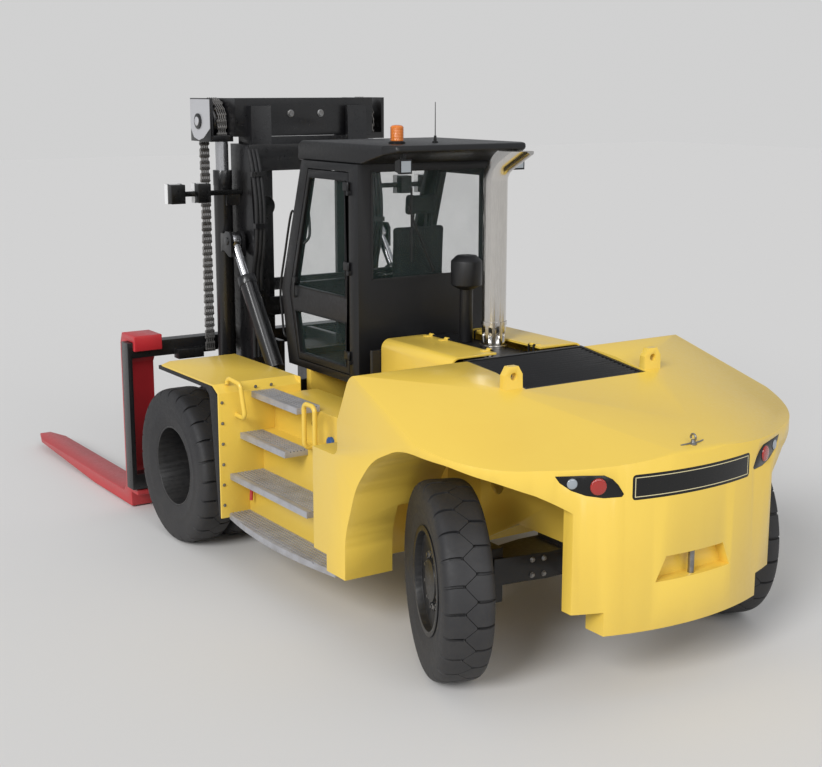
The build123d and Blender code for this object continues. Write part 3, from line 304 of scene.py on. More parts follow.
def linked(name, data):
    """An object in the scene that holds the given data."""
    thing = bpy.data.objects.new(name, data)
    bpy.context.scene.collection.objects.link(thing)
    return thing


def object_from(name, bm):
    """An object in the scene made of a bmesh, which is freed."""
    mesh = bpy.data.meshes.new(name)
    bm.to_mesh(mesh)
    bm.free()
    return linked(name, mesh)


def smooth_shaded(mesh):
    """Shades every face of a mesh smooth."""
    for polygon in mesh.polygons:
        polygon.use_smooth = True


def make_object(name, bm, body, slot, material=None, smooth=40.0):
    """A finished piece at the origin that rides on a body and takes the given finish, or its slot's finish when none
    is given.
    """
    bmesh.ops.recalc_face_normals(bm, faces=bm.faces)
    piece = object_from(name, bm)
    smooth_shaded(piece.data)
    piece.data.set_sharp_from_angle(angle=radians(smooth))
    piece.data.materials.append(material or slot_materials()[slot])
    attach(piece, body)
    return piece


def baked(piece):
    """Turns a piece's modifiers into plain mesh."""
    graph = bpy.context.evaluated_depsgraph_get()
    mesh = bpy.data.meshes.new_from_object(piece.evaluated_get(graph))
    piece.modifiers.clear()
    piece.data = mesh
    return piece


def softened(node, width, segments=2, angle=28.0):
    """A merged copy of a CAD node with its sharp edges rounded, which stands for that node."""
    bm = bmesh.new()
    bm.from_mesh(NODES[node].data)
    bmesh.ops.remove_doubles(bm, verts=bm.verts, dist=2e-5)
    bmesh.ops.dissolve_limit(bm, angle_limit=radians(1.5), verts=bm.verts, edges=bm.edges)
    piece = object_from(node + "_dressed", bm)
    smooth_shaded(piece.data)
    if width > 0:
        bevel = piece.modifiers.new("edge", "BEVEL")
        bevel.width = width
        bevel.segments = segments
        bevel.limit_method = "ANGLE"
        bevel.angle_limit = radians(angle)
        bevel.harden_normals = True
        baked(piece)
    else:
        piece.data.set_sharp_from_angle(angle=radians(angle))
    piece.data.materials.clear()
    piece.data.materials.append(slot_materials()[NODE_SLOT[node]])
    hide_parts(node)
    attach(piece, NODE_BODY[node])
    return piece


def lathe(bm, profile, axis_matrix, segments=64):
    """Turns (axial, radius) points about the local X axis and adds them to a mesh, with both ends closed."""
    rings = []
    for axial, radius in profile:
        turns = [2 * pi * i / segments for i in range(segments)]
        rings.append([bm.verts.new(axis_matrix @ Vector((axial, radius * cos(t), radius * sin(t)))) for t in turns])
    for a, b in zip(rings, rings[1:]):
        for i in range(segments):
            j = (i + 1) % segments
            bm.faces.new((a[i], a[j], b[j], b[i]))
    bm.faces.new(rings[0])
    bm.faces.new(list(reversed(rings[-1])))


def turned(name, profile, places, body, slot, material=None, segments=32):
    """A piece of equal turned parts, one at each place."""
    bm = bmesh.new()
    for place in places:
        lathe(bm, profile, place, segments)
    return make_object(name, bm, body, slot, material)


def block(bm, a, b, matrix=None):
    """A box between two corners, given in any order."""
    matrix = matrix or Matrix.Identity(4)
    low, high = list(map(min, a, b)), list(map(max, a, b))
    size = [h - l for l, h in zip(low, high)]
    middle = [(h + l) / 2 for l, h in zip(low, high)]
    placed = matrix @ Matrix.Translation(middle) @ Matrix.Diagonal((*size, 1))
    return bmesh.ops.create_cube(bm, size=1, matrix=placed)


def prism(bm, outline, x0, x1):
    """A solid of constant (y, z) outline between two places along X."""
    a, b = [[bm.verts.new((x, y, z)) for y, z in outline] for x in (x0, x1)]
    for i in range(len(a)):
        j = (i + 1) % len(a)
        bm.faces.new((a[i], a[j], b[j], b[i]))
    bm.faces.new(list(reversed(a)))
    bm.faces.new(b)


def pipe(bm, points, radius, segments=12):
    """A round tube through points, with its ends closed."""
    points = [Vector(p) for p in points]
    side = None
    rings = []
    for i, point in enumerate(points):
        ahead = points[min(i + 1, len(points) - 1)] - points[max(i - 1, 0)]
        ahead.normalize()
        if side is None:
            side = ahead.orthogonal().normalized()
        side = (side - ahead * side.dot(ahead)).normalized()
        up = ahead.cross(side)
        ring = []
        for k in range(segments):
            turn = 2 * pi * k / segments
            ring.append(bm.verts.new(point + radius * (cos(turn) * side + sin(turn) * up)))
        rings.append(ring)
    for a, b in zip(rings, rings[1:]):
        for k in range(segments):
            j = (k + 1) % segments
            bm.faces.new((a[k], a[j], b[j], b[k]))
    bm.faces.new(list(reversed(rings[0])))
    bm.faces.new(rings[-1])


def upright(place):
    """A matrix that puts local X upwards at a place."""
    return Matrix.Translation(place) @ Matrix.Rotation(radians(-90), 4, "Y")


def sideways(sign, place):
    """A matrix that puts local X towards the left (-1) or right (1) side at a place."""
    return Matrix.Translation(place) @ Matrix.Rotation(0 if sign > 0 else pi, 4, "Z")


def facing(place, direction):
    """A matrix that puts local Z along a direction at a place."""
    turn = Vector((0, 0, 1)).rotation_difference(Vector(direction)).to_matrix().to_4x4()
    return Matrix.Translation(place) @ turn


# Stage

CAMERA_PLACE = (-5.762, -9.636, 3.545)
CAMERA_HEADING, CAMERA_TILT = radians(33.35), radians(-11.92)
SUNS = (  # name, direction it shines from, angle in degrees, strength
    ("key", (-10.0, -5.0, 6.5), 24.0, 2.1),
    ("rear", (-1.0, -12.0, 6.5), 40.0, 0.8),
)


class TRUCK_OT_stage(bpy.types.Operator):
    """Set up the camera, the pale floor and the soft studio lamps"""

    bl_idname = "truck.stage"
    bl_label = "Stage"

    def execute(self, context):
        scene = context.scene
        data = bpy.data.cameras.new("camera")
        data.lens = sizes().lens_length
        data.sensor_width = 36.0
        data.clip_end = 200.0
        camera = linked("camera", data)
        look = Vector((sin(CAMERA_HEADING) * cos(CAMERA_TILT), cos(CAMERA_HEADING) * cos(CAMERA_TILT),
                       sin(CAMERA_TILT)))
        camera.location = CAMERA_PLACE
        camera.rotation_euler = look.to_track_quat("-Z", "Y").to_euler()
        scene.camera = camera
        scene.view_settings.view_transform = "Standard"
        bm = bmesh.new()
        block(bm, (-60, -60, -0.02), (60, 60, -0.0005))
        floor = object_from("floor", bm)
        material = bpy.data.materials.new("studio floor")
        material.use_nodes = True
        feed(material.node_tree, material.node_tree.nodes["Principled BSDF"].inputs,
             {"Base Color": (0.712, 0.703, 0.692, 1), "Roughness": 0.9, "Specular IOR Level": 0.05})
        floor.data.materials.append(material)
        world = bpy.data.worlds.new("studio")
        scene.world = world
        world.use_nodes = True
        tree = world.node_tree
        sky = tree.nodes["Background"]
        feed(tree, sky.inputs, {"Color": (0.95, 0.97, 1.0, 1), "Strength": 0.48})
        seen = add_node(tree, "ShaderNodeBackground", {"Color": (0.676, 0.676, 0.676, 1), "Strength": 0.94})
        path = tree.nodes.new("ShaderNodeLightPath")
        swap = add_node(tree, "ShaderNodeMixShader", {
            "Fac": path.outputs["Is Camera Ray"], 1: sky.outputs["Background"], 2: seen.outputs["Background"]})
        tree.links.new(swap.outputs["Shader"], tree.nodes["World Output"].inputs["Surface"])
        for name, place, soft, power in SUNS:
            lamp = bpy.data.lights.new(name, "SUN")
            lamp.energy = power
            lamp.angle = radians(soft)
            light = linked(name, lamp)
            light.location = place
            light.rotation_euler = (-Vector(place)).to_track_quat("-Z", "Y").to_euler()
        return {"FINISHED"}


# Body plates and frames


BODY_EDGES = {
    "counterweight": 0.014, "front_fenders": 0.006, "side_tanks": 0.006, "engine_cover_left": 0.010,
    "engine_cover_right": 0.010, "hood_deck": 0.004, "cab_frame": 0.012, "cab_roof": 0.016, "door_left": 0.008,
    "door_right": 0.008, "chassis_frame": 0.004, "mast_outer": 0.004, "mast_inner": 0.004, "carriage": 0.006,
    "fork_left": 0.008, "fork_right": 0.008, "steer_axle": 0.006, "drive_axle": 0.006, "engine_block": 0.02,
    "radiator": 0.006, "mudguards": 0.004, "steer_knuckle_left": 0.005, "steer_knuckle_right": 0.005,
    "front_rim_left": 0.004, "front_rim_right": 0.004, "rear_rim_left": 0.004, "rear_rim_right": 0.004,
    "step_treads": 0.0015, "handrails": 0.0, "exhaust_stack": 0.0, "air_cleaner": 0.004, "lift_cylinders": 0.003,
    "lift_rods": 0.0, "tilt_barrel_left": 0.003, "tilt_barrel_right": 0.003, "tilt_rod_left": 0.002,
    "tilt_rod_right": 0.002, "radiator_grille": 0.001, "driver_controls": 0.006,
    "mast_lamps": 0.006, "tail_lamps": 0.003,
    "cab_glass": 0.0, "door_glass_left": 0.0, "door_glass_right": 0.0,
}


class TRUCK_OT_body(bpy.types.Operator):
    """Round the edges of the carried-over plates and give them their finish"""

    bl_idname = "truck.body"
    bl_label = "Body plates"

    def execute(self, context):
        for node, width in BODY_EDGES.items():
            softened(node, width)
        return {"FINISHED"}


# Tyres

TYRE_WIDTH, TYRE_BORE, TWIN_SHIFT = 0.310, 0.320, 0.175
TREAD_ROWS = (-0.355, -0.33, -0.29, -0.25, -0.20)  # places across the tread, in tyre widths
TREAD_INNER = (0.35, 0.7)  # places between the last row and the middle groove
MIDDLE_GROOVE = 0.0028  # half width of the groove between the rows
CUT_HALF, CUT_LIP = 0.0062, 0.0095  # half width of a cross groove at its floor and at its lip
WALL = (  # (place in tyre widths, share of the radius) up the side wall, above the two rows at the bore
    (-0.44, 0.60), (-0.47, 0.66), (-0.485, 0.70), (-0.478, 0.712), (-0.497, 0.80), (-0.497, 0.86),
    (-0.488, 0.905), (-0.474, 0.935), (-0.448, 0.96), (-0.405, 0.979),
)


def zigzag(t):
    """A triangle wave of period 1 that runs from -1 at 0 to 1 at a half."""
    t = t % 1.0
    return 4 * t - 1 if t < 0.5 else 3 - 4 * t


def tread_ring(t, width, radius):
    """One ring of a tread: (axial, radius) points with the grooves cut, for a place t along a pitch."""
    line = 0.13 * width * zigzag(t)
    centre = [line + k * MIDDLE_GROOVE for k in (-1, -0.4, 0.4, 1)]
    edge = 0.20 * width
    left_cut = 1.0 if abs(t - round(t)) < 0.0001 else 0.0
    right_cut = 1.0 if abs(t - 0.5) < 0.0001 else 0.0
    ring = [(a * width, left_cut) for a in TREAD_ROWS]
    ring += [(-edge + k * (centre[0] + edge), left_cut) for k in TREAD_INNER]
    ring += list(zip(centre, (0.0, 0.6, 0.6, 0.0)))
    ring += [(edge + k * (centre[3] - edge), right_cut) for k in reversed(TREAD_INNER)]
    ring += [(-a * width, right_cut) for a in reversed(TREAD_ROWS)]
    crown = []
    for axial, cut in ring:
        fall = 0.010 * max(0.0, (abs(axial) / width - 0.2) / 0.155) ** 2
        crown.append((axial, radius * (1 - fall) - sizes().groove_depth * cut))
    return crown


def add_tyre(bm, radius, width, bore, matrix):
    """One tyre about its local X axis: two rows of blocks that meet along a zigzag."""
    pitches = sizes().tyre_pitches
    length = 2 * pi * radius / pitches
    wall = [(-0.40, bore / radius), (-0.415, bore / radius + 0.02), *WALL]
    spans = [(-CUT_LIP / length, 0), (-CUT_HALF / length, 1), (CUT_HALF / length, 1), (CUT_LIP / length, 0)]
    steps = [(middle + s, middle, deep) for middle in (0.0, 0.5) for s, deep in spans]
    steps += [(t, None, 0) for t in (0.14, 0.25, 0.36, 0.64, 0.75, 0.86)]
    steps.sort()
    rings = []
    for k in range(pitches):
        for t, middle, deep in steps:
            turn = 2 * pi * (k + t) / pitches
            flat = tread_ring(t, width, radius)
            if deep:
                cut = tread_ring(middle, width, radius)
                flat = [(f[0], min(c[1], f[1])) for f, c in zip(flat, cut)]
            outline = []
            for side in (-1, 1):
                this_side = deep and ((side < 0) == (middle == 0.0))
                edge = []
                for a, r in wall:
                    fade = max(0.0, min(1.0, (r - 0.89) / 0.06))
                    sunk = 0.9 * sizes().groove_depth * fade if this_side else 0
                    edge.append((-side * a * width, r * radius - sunk))
                outline.append(edge)
            profile = outline[0] + flat + outline[1][::-1]
            wave = [0.05 * length * sin(2 * pi * a / width) / radius for a, r in profile]
            rings.append([bm.verts.new(matrix @ Vector((a, r * cos(turn + w), r * sin(turn + w))))
                          for (a, r), w in zip(profile, wave)])
    for a, b in zip(rings, rings[1:] + rings[:1]):
        for j in range(len(a) - 1):
            bm.faces.new((a[j], a[j + 1], b[j + 1], b[j]))
        bm.faces.new((a[-1], a[0], b[0], b[-1]))


def wheel_matrix(node):
    """The place and turn of a wheel joint, with local X along its axle."""
    body = NODE_BODY[node]
    joint = [j for j in frame["joints"] if j["child"] == body][0]
    axle = Vector(joint["axis"]).normalized()
    low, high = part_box(node)
    turn = Vector((1, 0, 0)).rotation_difference(-axle).to_matrix().to_4x4()
    return Matrix.Translation(joint["pos_m"]) @ turn, high.z - low.z


class TRUCK_OT_tyres(bpy.types.Operator):
    """Cut the block tread into the twin front tyres and the steered rear tyres"""

    bl_idname = "truck.tyres"
    bl_label = "Tyres"

    def execute(self, context):
        for side, _ in SIDES:
            for node, shifts in (("front_tyres_" + side, (-TWIN_SHIFT, TWIN_SHIFT)), ("rear_tyre_" + side, (0,))):
                matrix, height = wheel_matrix(node)
                bm = bmesh.new()
                for shift in shifts:
                    add_tyre(bm, height / 2, TYRE_WIDTH, TYRE_BORE, matrix @ Matrix.Translation((shift, 0, 0)))
                piece = make_object(node + "_cut", bm, NODE_BODY[node], "tyre_rubber", smooth=32)
                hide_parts(node)
        return {"FINISHED"}


# Repeats grown with geometry nodes


def grow_tree(name, inputs):
    """A geometry node tree with named inputs, and its input and output nodes."""
    tree = bpy.data.node_groups.new(name, "GeometryNodeTree")
    tree.interface.new_socket(name="Geometry", in_out="OUTPUT", socket_type="NodeSocketGeometry")
    for label, kind, value in inputs:
        socket = tree.interface.new_socket(name=label, in_out="INPUT", socket_type=kind)
        if value is not None:
            socket.default_value = value
    return tree, tree.nodes.new("NodeGroupInput"), tree.nodes.new("NodeGroupOutput")


def close_tree(tree, geometry, head, tail):
    """Ends a tree in realized instances with the material that its input names."""
    real = add_node(tree, "GeometryNodeRealizeInstances", {"Geometry": geometry})
    inputs = {"Geometry": real.outputs["Geometry"], "Material": head.outputs["Material"]}
    paint = add_node(tree, "GeometryNodeSetMaterial", inputs)
    tree.links.new(paint.outputs["Geometry"], tail.inputs["Geometry"])


def item_tree(name, primitive, inputs, wires):
    """Items set on the points of a mesh primitive whose inputs are the tree's own."""
    if name in bpy.data.node_groups:
        return bpy.data.node_groups[name]
    inputs = [("Item", "NodeSocketObject", None), *inputs, ("Material", "NodeSocketMaterial", None)]
    tree, head, tail = grow_tree(name, inputs)
    points = add_node(tree, primitive, {socket: head.outputs[label] for label, socket in wires.items()})
    item = add_node(tree, "GeometryNodeObjectInfo", {"Object": head.outputs["Item"]})
    place = add_node(tree, "GeometryNodeInstanceOnPoints", {
        "Points": points.outputs["Mesh"], "Instance": item.outputs["Geometry"]})
    close_tree(tree, place.outputs["Instances"], head, tail)
    return tree


def ring_tree():
    """Items set round a circle in the local XY plane."""
    inputs = [("Count", "NodeSocketInt", 10), ("Radius", "NodeSocketFloat", 0.2)]
    return item_tree("ring of items", "GeometryNodeMeshCircle", inputs, {"Count": "Vertices", "Radius": "Radius"})


def row_tree():
    """Items set along a straight line."""
    inputs = [("Count", "NodeSocketInt", 5), ("Step", "NodeSocketVector", (0.1, 0, 0))]
    return item_tree("row of items", "GeometryNodeMeshLine", inputs, {"Count": "Count", "Step": "Offset"})


def chain_tree():
    """Two kinds of link set in turn along a curve that lies in the YZ plane."""
    if "leaf chain" in bpy.data.node_groups:
        return bpy.data.node_groups["leaf chain"]
    inputs = [("Path", "NodeSocketObject", None), ("Outer Link", "NodeSocketObject", None),
              ("Inner Link", "NodeSocketObject", None), ("Pitch", "NodeSocketFloat", 0.05),
              ("Material", "NodeSocketMaterial", None)]
    tree, head, tail = grow_tree("leaf chain", inputs)
    path = add_node(tree, "GeometryNodeObjectInfo", {"Object": head.outputs["Path"]})
    even = add_node(tree, "GeometryNodeResampleCurve",
                    {"Curve": path.outputs["Geometry"], "Length": head.outputs["Pitch"]}, mode="LENGTH")
    tangent = tree.nodes.new("GeometryNodeInputTangent")
    turn = add_node(tree, "FunctionNodeAlignRotationToVector", {"Vector": tangent.outputs["Tangent"]},
                    axis="Z", pivot_axis="X")
    index = tree.nodes.new("GeometryNodeInputIndex")
    odd = add_node(tree, "ShaderNodeMath", {0: index.outputs["Index"], 1: 2}, operation="MODULO")
    other = add_node(tree, "ShaderNodeMath", {0: 1, 1: odd.outputs["Value"]}, operation="SUBTRACT")
    joined = tree.nodes.new("GeometryNodeJoinGeometry")
    for label, choice in (("Outer Link", other), ("Inner Link", odd)):
        link = add_node(tree, "GeometryNodeObjectInfo", {"Object": head.outputs[label]})
        place = add_node(tree, "GeometryNodeInstanceOnPoints", {
            "Points": even.outputs["Curve"], "Instance": link.outputs["Geometry"],
            "Rotation": turn.outputs["Rotation"], "Selection": choice.outputs["Value"]})
        tree.links.new(place.outputs["Instances"], joined.inputs["Geometry"])
    close_tree(tree, joined.outputs["Geometry"], head, tail)
    return tree


def grown(tree, settings, matrix=None):
    """The plain mesh that a tree grows with the given inputs, moved by a matrix."""
    carrier = linked("carrier", bpy.data.meshes.new("carrier"))
    modifier = carrier.modifiers.new("grow", "NODES")
    modifier.node_group = tree
    for socket in tree.interface.items_tree:
        if socket.item_type == "SOCKET" and socket.in_out == "INPUT" and socket.name in settings:
            modifier[socket.identifier] = settings[socket.name]
    graph = bpy.context.evaluated_depsgraph_get()
    mesh = bpy.data.meshes.new_from_object(carrier.evaluated_get(graph))
    if matrix:
        mesh.transform(matrix)
    bpy.data.objects.remove(carrier)
    return mesh


def pattern_item(name, bm):
    """A small mesh that a tree repeats; it is taken away once the repeats are made."""
    bmesh.ops.recalc_face_normals(bm, faces=bm.faces)
    return object_from(name, bm)


def bolt_row(item, start, step, count, way):
    """A row of items that start at a place and point one way."""
    turn = facing(start, way)
    local_step = tuple(turn.to_3x3().inverted() @ Vector(step))
    return grown(row_tree(), {"Item": item, "Count": count, "Step": local_step, "Material": plated()}, turn)


def hex_head(radius, height, stud=0.0):
    """A hexagon head on a washer, with its axis along Z and its foot at the origin."""
    bm = bmesh.new()
    rings = [(1.35 * radius, 0.0, 12), (1.35 * radius, 0.18 * height, 12)]
    heads = [(radius, 0.18 * height, 6), (radius, 0.88 * height, 6), (0.84 * radius, height, 6)]
    if stud:
        heads += [(0.5 * radius, height, 6), (0.5 * radius, height + stud, 6)]
    for group in (rings, heads):
        made = []
        for r, z, sides in group:
            made.append([bm.verts.new((r * cos(2 * pi * i / sides), r * sin(2 * pi * i / sides), z))
                         for i in range(sides)])
        for a, b in zip(made, made[1:]):
            for i in range(len(a)):
                bm.faces.new((a[i], a[(i + 1) % len(a)], b[(i + 1) % len(a)], b[i]))
        bm.faces.new(list(reversed(made[0])))
        bm.faces.new(made[-1])
    return bm


def gathered(name, meshes, body, slot, material=None, smooth=30.0):
    """Several grown meshes joined into one finished piece."""
    bm = bmesh.new()
    for mesh in meshes:
        bm.from_mesh(mesh)
        bpy.data.meshes.remove(mesh)
    return make_object(name, bm, body, slot, material, smooth)


# Wheel nuts and panel bolts

WHEEL_NUTS = (  # rim node, radius of the nut circle, place of its face along the axle
    ("front_rim_", 0.250, -0.085),
    ("rear_rim_", 0.1675, 0.072),
)
PANEL_ROWS = (  # first bolt on the right side, step, count
    ((1.425, -0.5475, 0.52), (0, 0, 0.155), 6),
    ((1.02, -0.5475, 1.385), (0.13, 0, 0), 3),
)
BACKWARD = (0, -1, 0)


class TRUCK_OT_fasteners(bpy.types.Operator):
    """Set the wheel nuts and the panel bolts"""

    bl_idname = "truck.fasteners"
    bl_label = "Wheel nuts and bolts"

    def execute(self, context):
        nut = pattern_item("nut", hex_head(0.022, 0.024, 0.010))
        bolt = pattern_item("bolt", hex_head(0.0095, 0.008))
        for side, sign in SIDES:
            for node, radius, face in WHEEL_NUTS:
                local = wheel_matrix(node + side)[0] @ facing((sign * face, 0, 0), (sign, 0, 0))
                settings = {"Item": nut, "Count": 10, "Radius": radius, "Material": plated()}
                mesh = grown(ring_tree(), settings, local)
                gathered(node + side + "_nuts", [mesh], NODE_BODY[node + side], "rim_black", plated())
            meshes = [bolt_row(bolt, (sign * x, y, z), (sign * dx, dy, dz), count, BACKWARD)
                      for (x, y, z), (dx, dy, dz), count in PANEL_ROWS]
            gathered("panel_bolts_" + side, meshes, "chassis", "rod_chrome", plated())
        for item in (nut, bolt):
            bpy.data.objects.remove(item)
        return {"FINISHED"}


# Leaf chains

CHAIN_PITCH, CHAIN_HEIGHT, PLATE_THICK, PIN_RADIUS = 0.050, 0.030, 0.006, 0.008
OUTER_PLATES = (-0.036, -0.018, 0.0, 0.018, 0.036)
INNER_PLATES = (-0.027, -0.009, 0.009, 0.027)
SHEAVE_Y, SHEAVE_Z, CHAIN_RADIUS, CHAIN_X = 1.004, 3.270, 0.167, 0.700


def chain_link(offsets):
    """The plates of one link along Z, with its pin at the foot."""
    bm = bmesh.new()
    half, waist, middle = 0.5 * CHAIN_HEIGHT, 0.36 * CHAIN_HEIGHT, 0.5 * CHAIN_PITCH
    top = [(half * cos(radians(a)), CHAIN_PITCH + half * sin(radians(a))) for a in (0, 45, 90, 135, 180)]
    foot = [(half * cos(radians(a)), half * sin(radians(a))) for a in (180, 225, 270, 315, 360)]
    outline = top + [(-waist, middle)] + foot + [(waist, middle)]
    for x in offsets:
        prism(bm, outline, x - PLATE_THICK / 2, x + PLATE_THICK / 2)
    reach = max(abs(x) for x in offsets) + 1.4 * PLATE_THICK
    pin = [(PIN_RADIUS * cos(pi * i / 4), PIN_RADIUS * sin(pi * i / 4)) for i in range(8)]
    prism(bm, pin, -reach, reach)
    return bm


class TRUCK_OT_chains(bpy.types.Operator):
    """Run the leaf chains over their sheaves link by link"""

    bl_idname = "truck.chains"
    bl_label = "Leaf chains"

    def execute(self, context):
        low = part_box("lift_chains")[0]
        outer = pattern_item("outer_link", chain_link(OUTER_PLATES))
        inner = pattern_item("inner_link", chain_link(INNER_PLATES))
        turns = [pi * i / 24 for i in range(1, 25)]
        points = [(SHEAVE_Y + CHAIN_RADIUS, low.z + 0.015), (SHEAVE_Y + CHAIN_RADIUS, SHEAVE_Z)]
        points += [(SHEAVE_Y + CHAIN_RADIUS * cos(t), SHEAVE_Z + CHAIN_RADIUS * sin(t)) for t in turns]
        points.append((SHEAVE_Y - CHAIN_RADIUS, SHEAVE_Z - 0.10))
        meshes = []
        for sign in (-1, 1):
            data = bpy.data.curves.new("chain_path", "CURVE")
            data.dimensions = "3D"
            spline = data.splines.new("POLY")
            spline.points.add(len(points) - 1)
            for point, (y, z) in zip(spline.points, points):
                point.co = (sign * CHAIN_X, y, z, 1)
            path = linked("chain_path", data)
            settings = {"Path": path, "Outer Link": outer, "Inner Link": inner, "Pitch": CHAIN_PITCH,
                        "Material": slot_materials()["chain_steel"]}
            meshes.append(grown(chain_tree(), settings))
            bpy.data.objects.remove(path)
        piece = gathered("lift_chain_links", meshes, NODE_BODY["lift_chains"], "chain_steel")
        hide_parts("lift_chains")
        for item in (outer, inner):
            bpy.data.objects.remove(item)
        return {"FINISHED"}


# Tail: name plate, lamps and the small hook

TAIL_RADIUS = 1.932
PLATE_X, PLATE_LOW, PLATE_HIGH, PLATE_CORNER = 0.470, 1.235, 1.385, 0.022
LINE_INSET, LINE_WIDTH = 0.016, 0.0045
TAIL_LAMPS = (  # distance from the middle, height, lens radius, dome, bezel radius
    (0.815, 1.358, 0.031, 0.012, 0.037),
    (0.672, 1.334, 0.050, 0.014, 0.057),
)
HOOK_Y, HOOK_FOOT_Z, HOOK_RING_Z, HOOK_RING = -3.880, 1.497, 1.540, 0.020
HOOK_FOOT = ((0.0, 0.022), (0.008, 0.022), (0.010, 0.016), (0.030, 0.012))
HOOK_RUN = ((-0.09, -3.872, 1.502), (-0.03, -3.880, 1.507), (0.05, -3.875, 1.504), (0.10, -3.860, 1.506))


def tail_face(x, reach=0.0):
    """The place on the bowed rear face at a distance from the middle, moved out by a reach."""
    normal = Vector((x / TAIL_RADIUS, -((1 - (x / TAIL_RADIUS) ** 2) ** 0.5), 0))
    return Vector((x, CAD_BOX[0].y + TAIL_RADIUS + normal.y * TAIL_RADIUS, 0)) + normal * reach, normal


def bowed_patch(bm, x0, x1, z0, z1, inner, outer, steps=24, corner=0.0):
    """A plate that follows the bowed rear face between two reaches, with its corners rounded."""
    columns = [(x0 + (x1 - x0) * i / steps, 0.0) for i in range(steps + 1)]
    if corner:
        turns = [radians(15 * i) for i in range(6)]
        ends = [(corner * (1 - cos(t)), corner * (1 - sin(t))) for t in turns]
        middle = [(x, 0.0) for x, _ in columns if x0 + corner <= x <= x1 - corner]
        columns = [(x0 + d, drop) for d, drop in ends] + middle + [(x1 - d, drop) for d, drop in reversed(ends)]
        steps = len(columns) - 1
    layers = []
    for reach in (inner, outer):
        grid = []
        for x, drop in columns:
            place = tail_face(x, reach)[0]
            grid.append([bm.verts.new((place.x, place.y, z)) for z in (z0 + drop, z1 - drop)])
        layers.append(grid)
    back, front = layers
    for i in range(steps):
        bm.faces.new((front[i][0], front[i + 1][0], front[i + 1][1], front[i][1]))
        bm.faces.new((back[i][1], back[i + 1][1], back[i + 1][0], back[i][0]))
        for k in (0, 1):
            quad = (back[i][k], back[i + 1][k], front[i + 1][k], front[i][k])
            bm.faces.new(quad if k == 0 else quad[::-1])
    for i in (0, steps):
        quad = (back[i][0], front[i][0], front[i][1], back[i][1])
        bm.faces.new(quad if i == 0 else quad[::-1])


def lens_at(bm, x, z, radius, dome, reach):
    """A domed round lens on the bowed rear face."""
    place, normal = tail_face(x, reach)
    turn = Vector((1, 0, 0)).rotation_difference(normal).to_matrix().to_4x4()
    profile = [(0.0, radius), (dome * 0.5, radius * 0.97)]
    profile += [(dome * (0.5 + 0.5 * sin(radians(a))), radius * 0.97 * cos(radians(a))) for a in (20, 40, 60, 78)]
    lathe(bm, profile, Matrix.Translation((place.x, place.y, z)) @ turn, segments=40)


class TRUCK_OT_tail(bpy.types.Operator):
    """Fit the blank name plate, the tail lamps and the small hook"""

    bl_idname = "truck.tail"
    bl_label = "Tail fittings"

    def execute(self, context):
        cream = finish("cream line", (0.70, 0.62, 0.36), gloss=(0.3, 0.4), bump=0.02)
        bm = bmesh.new()
        bowed_patch(bm, -PLATE_X, PLATE_X, PLATE_LOW, PLATE_HIGH, -0.004, 0.0006, steps=30, corner=PLATE_CORNER)
        make_object("name_plate", bm, "chassis", "lamp_black")
        bm = bmesh.new()
        x1, z0, z1 = PLATE_X - LINE_INSET, PLATE_LOW + LINE_INSET, PLATE_HIGH - LINE_INSET
        bowed_patch(bm, -x1, x1, z0, z0 + LINE_WIDTH, 0.0, 0.0012)
        bowed_patch(bm, -x1, x1, z1 - LINE_WIDTH, z1, 0.0, 0.0012)
        for sign in (-1, 1):
            bowed_patch(bm, sign * (x1 - LINE_WIDTH), sign * x1, z0, z1, 0.0, 0.0012, steps=2)
        make_object("name_plate_line", bm, "chassis", "yellow_paint", cream)
        lenses, bezels = (bmesh.new(), bmesh.new()), bmesh.new()
        for sign in (-1, 1):
            for lens, (x, z, radius, dome, bezel) in zip(lenses, TAIL_LAMPS):
                lens_at(lens, sign * x, z, radius, dome, -0.001)
                lens_at(bezels, sign * x, z, bezel, 0.006, -0.003)
        make_object("reversing_lenses", lenses[0], "chassis", "cab_glass", clear_lens())
        make_object("tail_lenses", lenses[1], "chassis", "fork_red", lamp_lens("red lens", (0.42, 0.02, 0.012)))
        make_object("lens_bezels", bezels, "chassis", "lamp_black")
        bm = bmesh.new()
        lathe(bm, HOOK_FOOT, upright((0, HOOK_Y, HOOK_FOOT_Z)), segments=20)
        turns = [radians(-30 + 260 * i / 14) for i in range(15)]
        pipe(bm, [(0.0, HOOK_Y + HOOK_RING * cos(t), HOOK_RING_Z + HOOK_RING * sin(t)) for t in turns], 0.0065)
        pipe(bm, HOOK_RUN, 0.005)
        make_object("hitch_hook", bm, "chassis", "rod_chrome", plated())
        return {"FINISHED"}


# Lamps, beacon and antenna

WORK_LAMPS_X, WORK_LAMP_PLACE, WORK_LAMP_SIZE = (-0.466, 0.504), (-1.490, 3.010), (0.100, 0.080, 0.100)
MAST_LAMPS = ((1.120, 1.240), (0.900, 1.010))  # inner and outer edge of each lamp, from the middle
BEACON_FOOT = ((0.0, 0.060), (0.014, 0.060), (0.020, 0.054), (0.021, 0.040))
ANTENNA_PROFILE = ((0.0, 0.022), (0.010, 0.022), (0.016, 0.012), (0.05, 0.009), (0.052, 0.0035), (0.285, 0.0025))


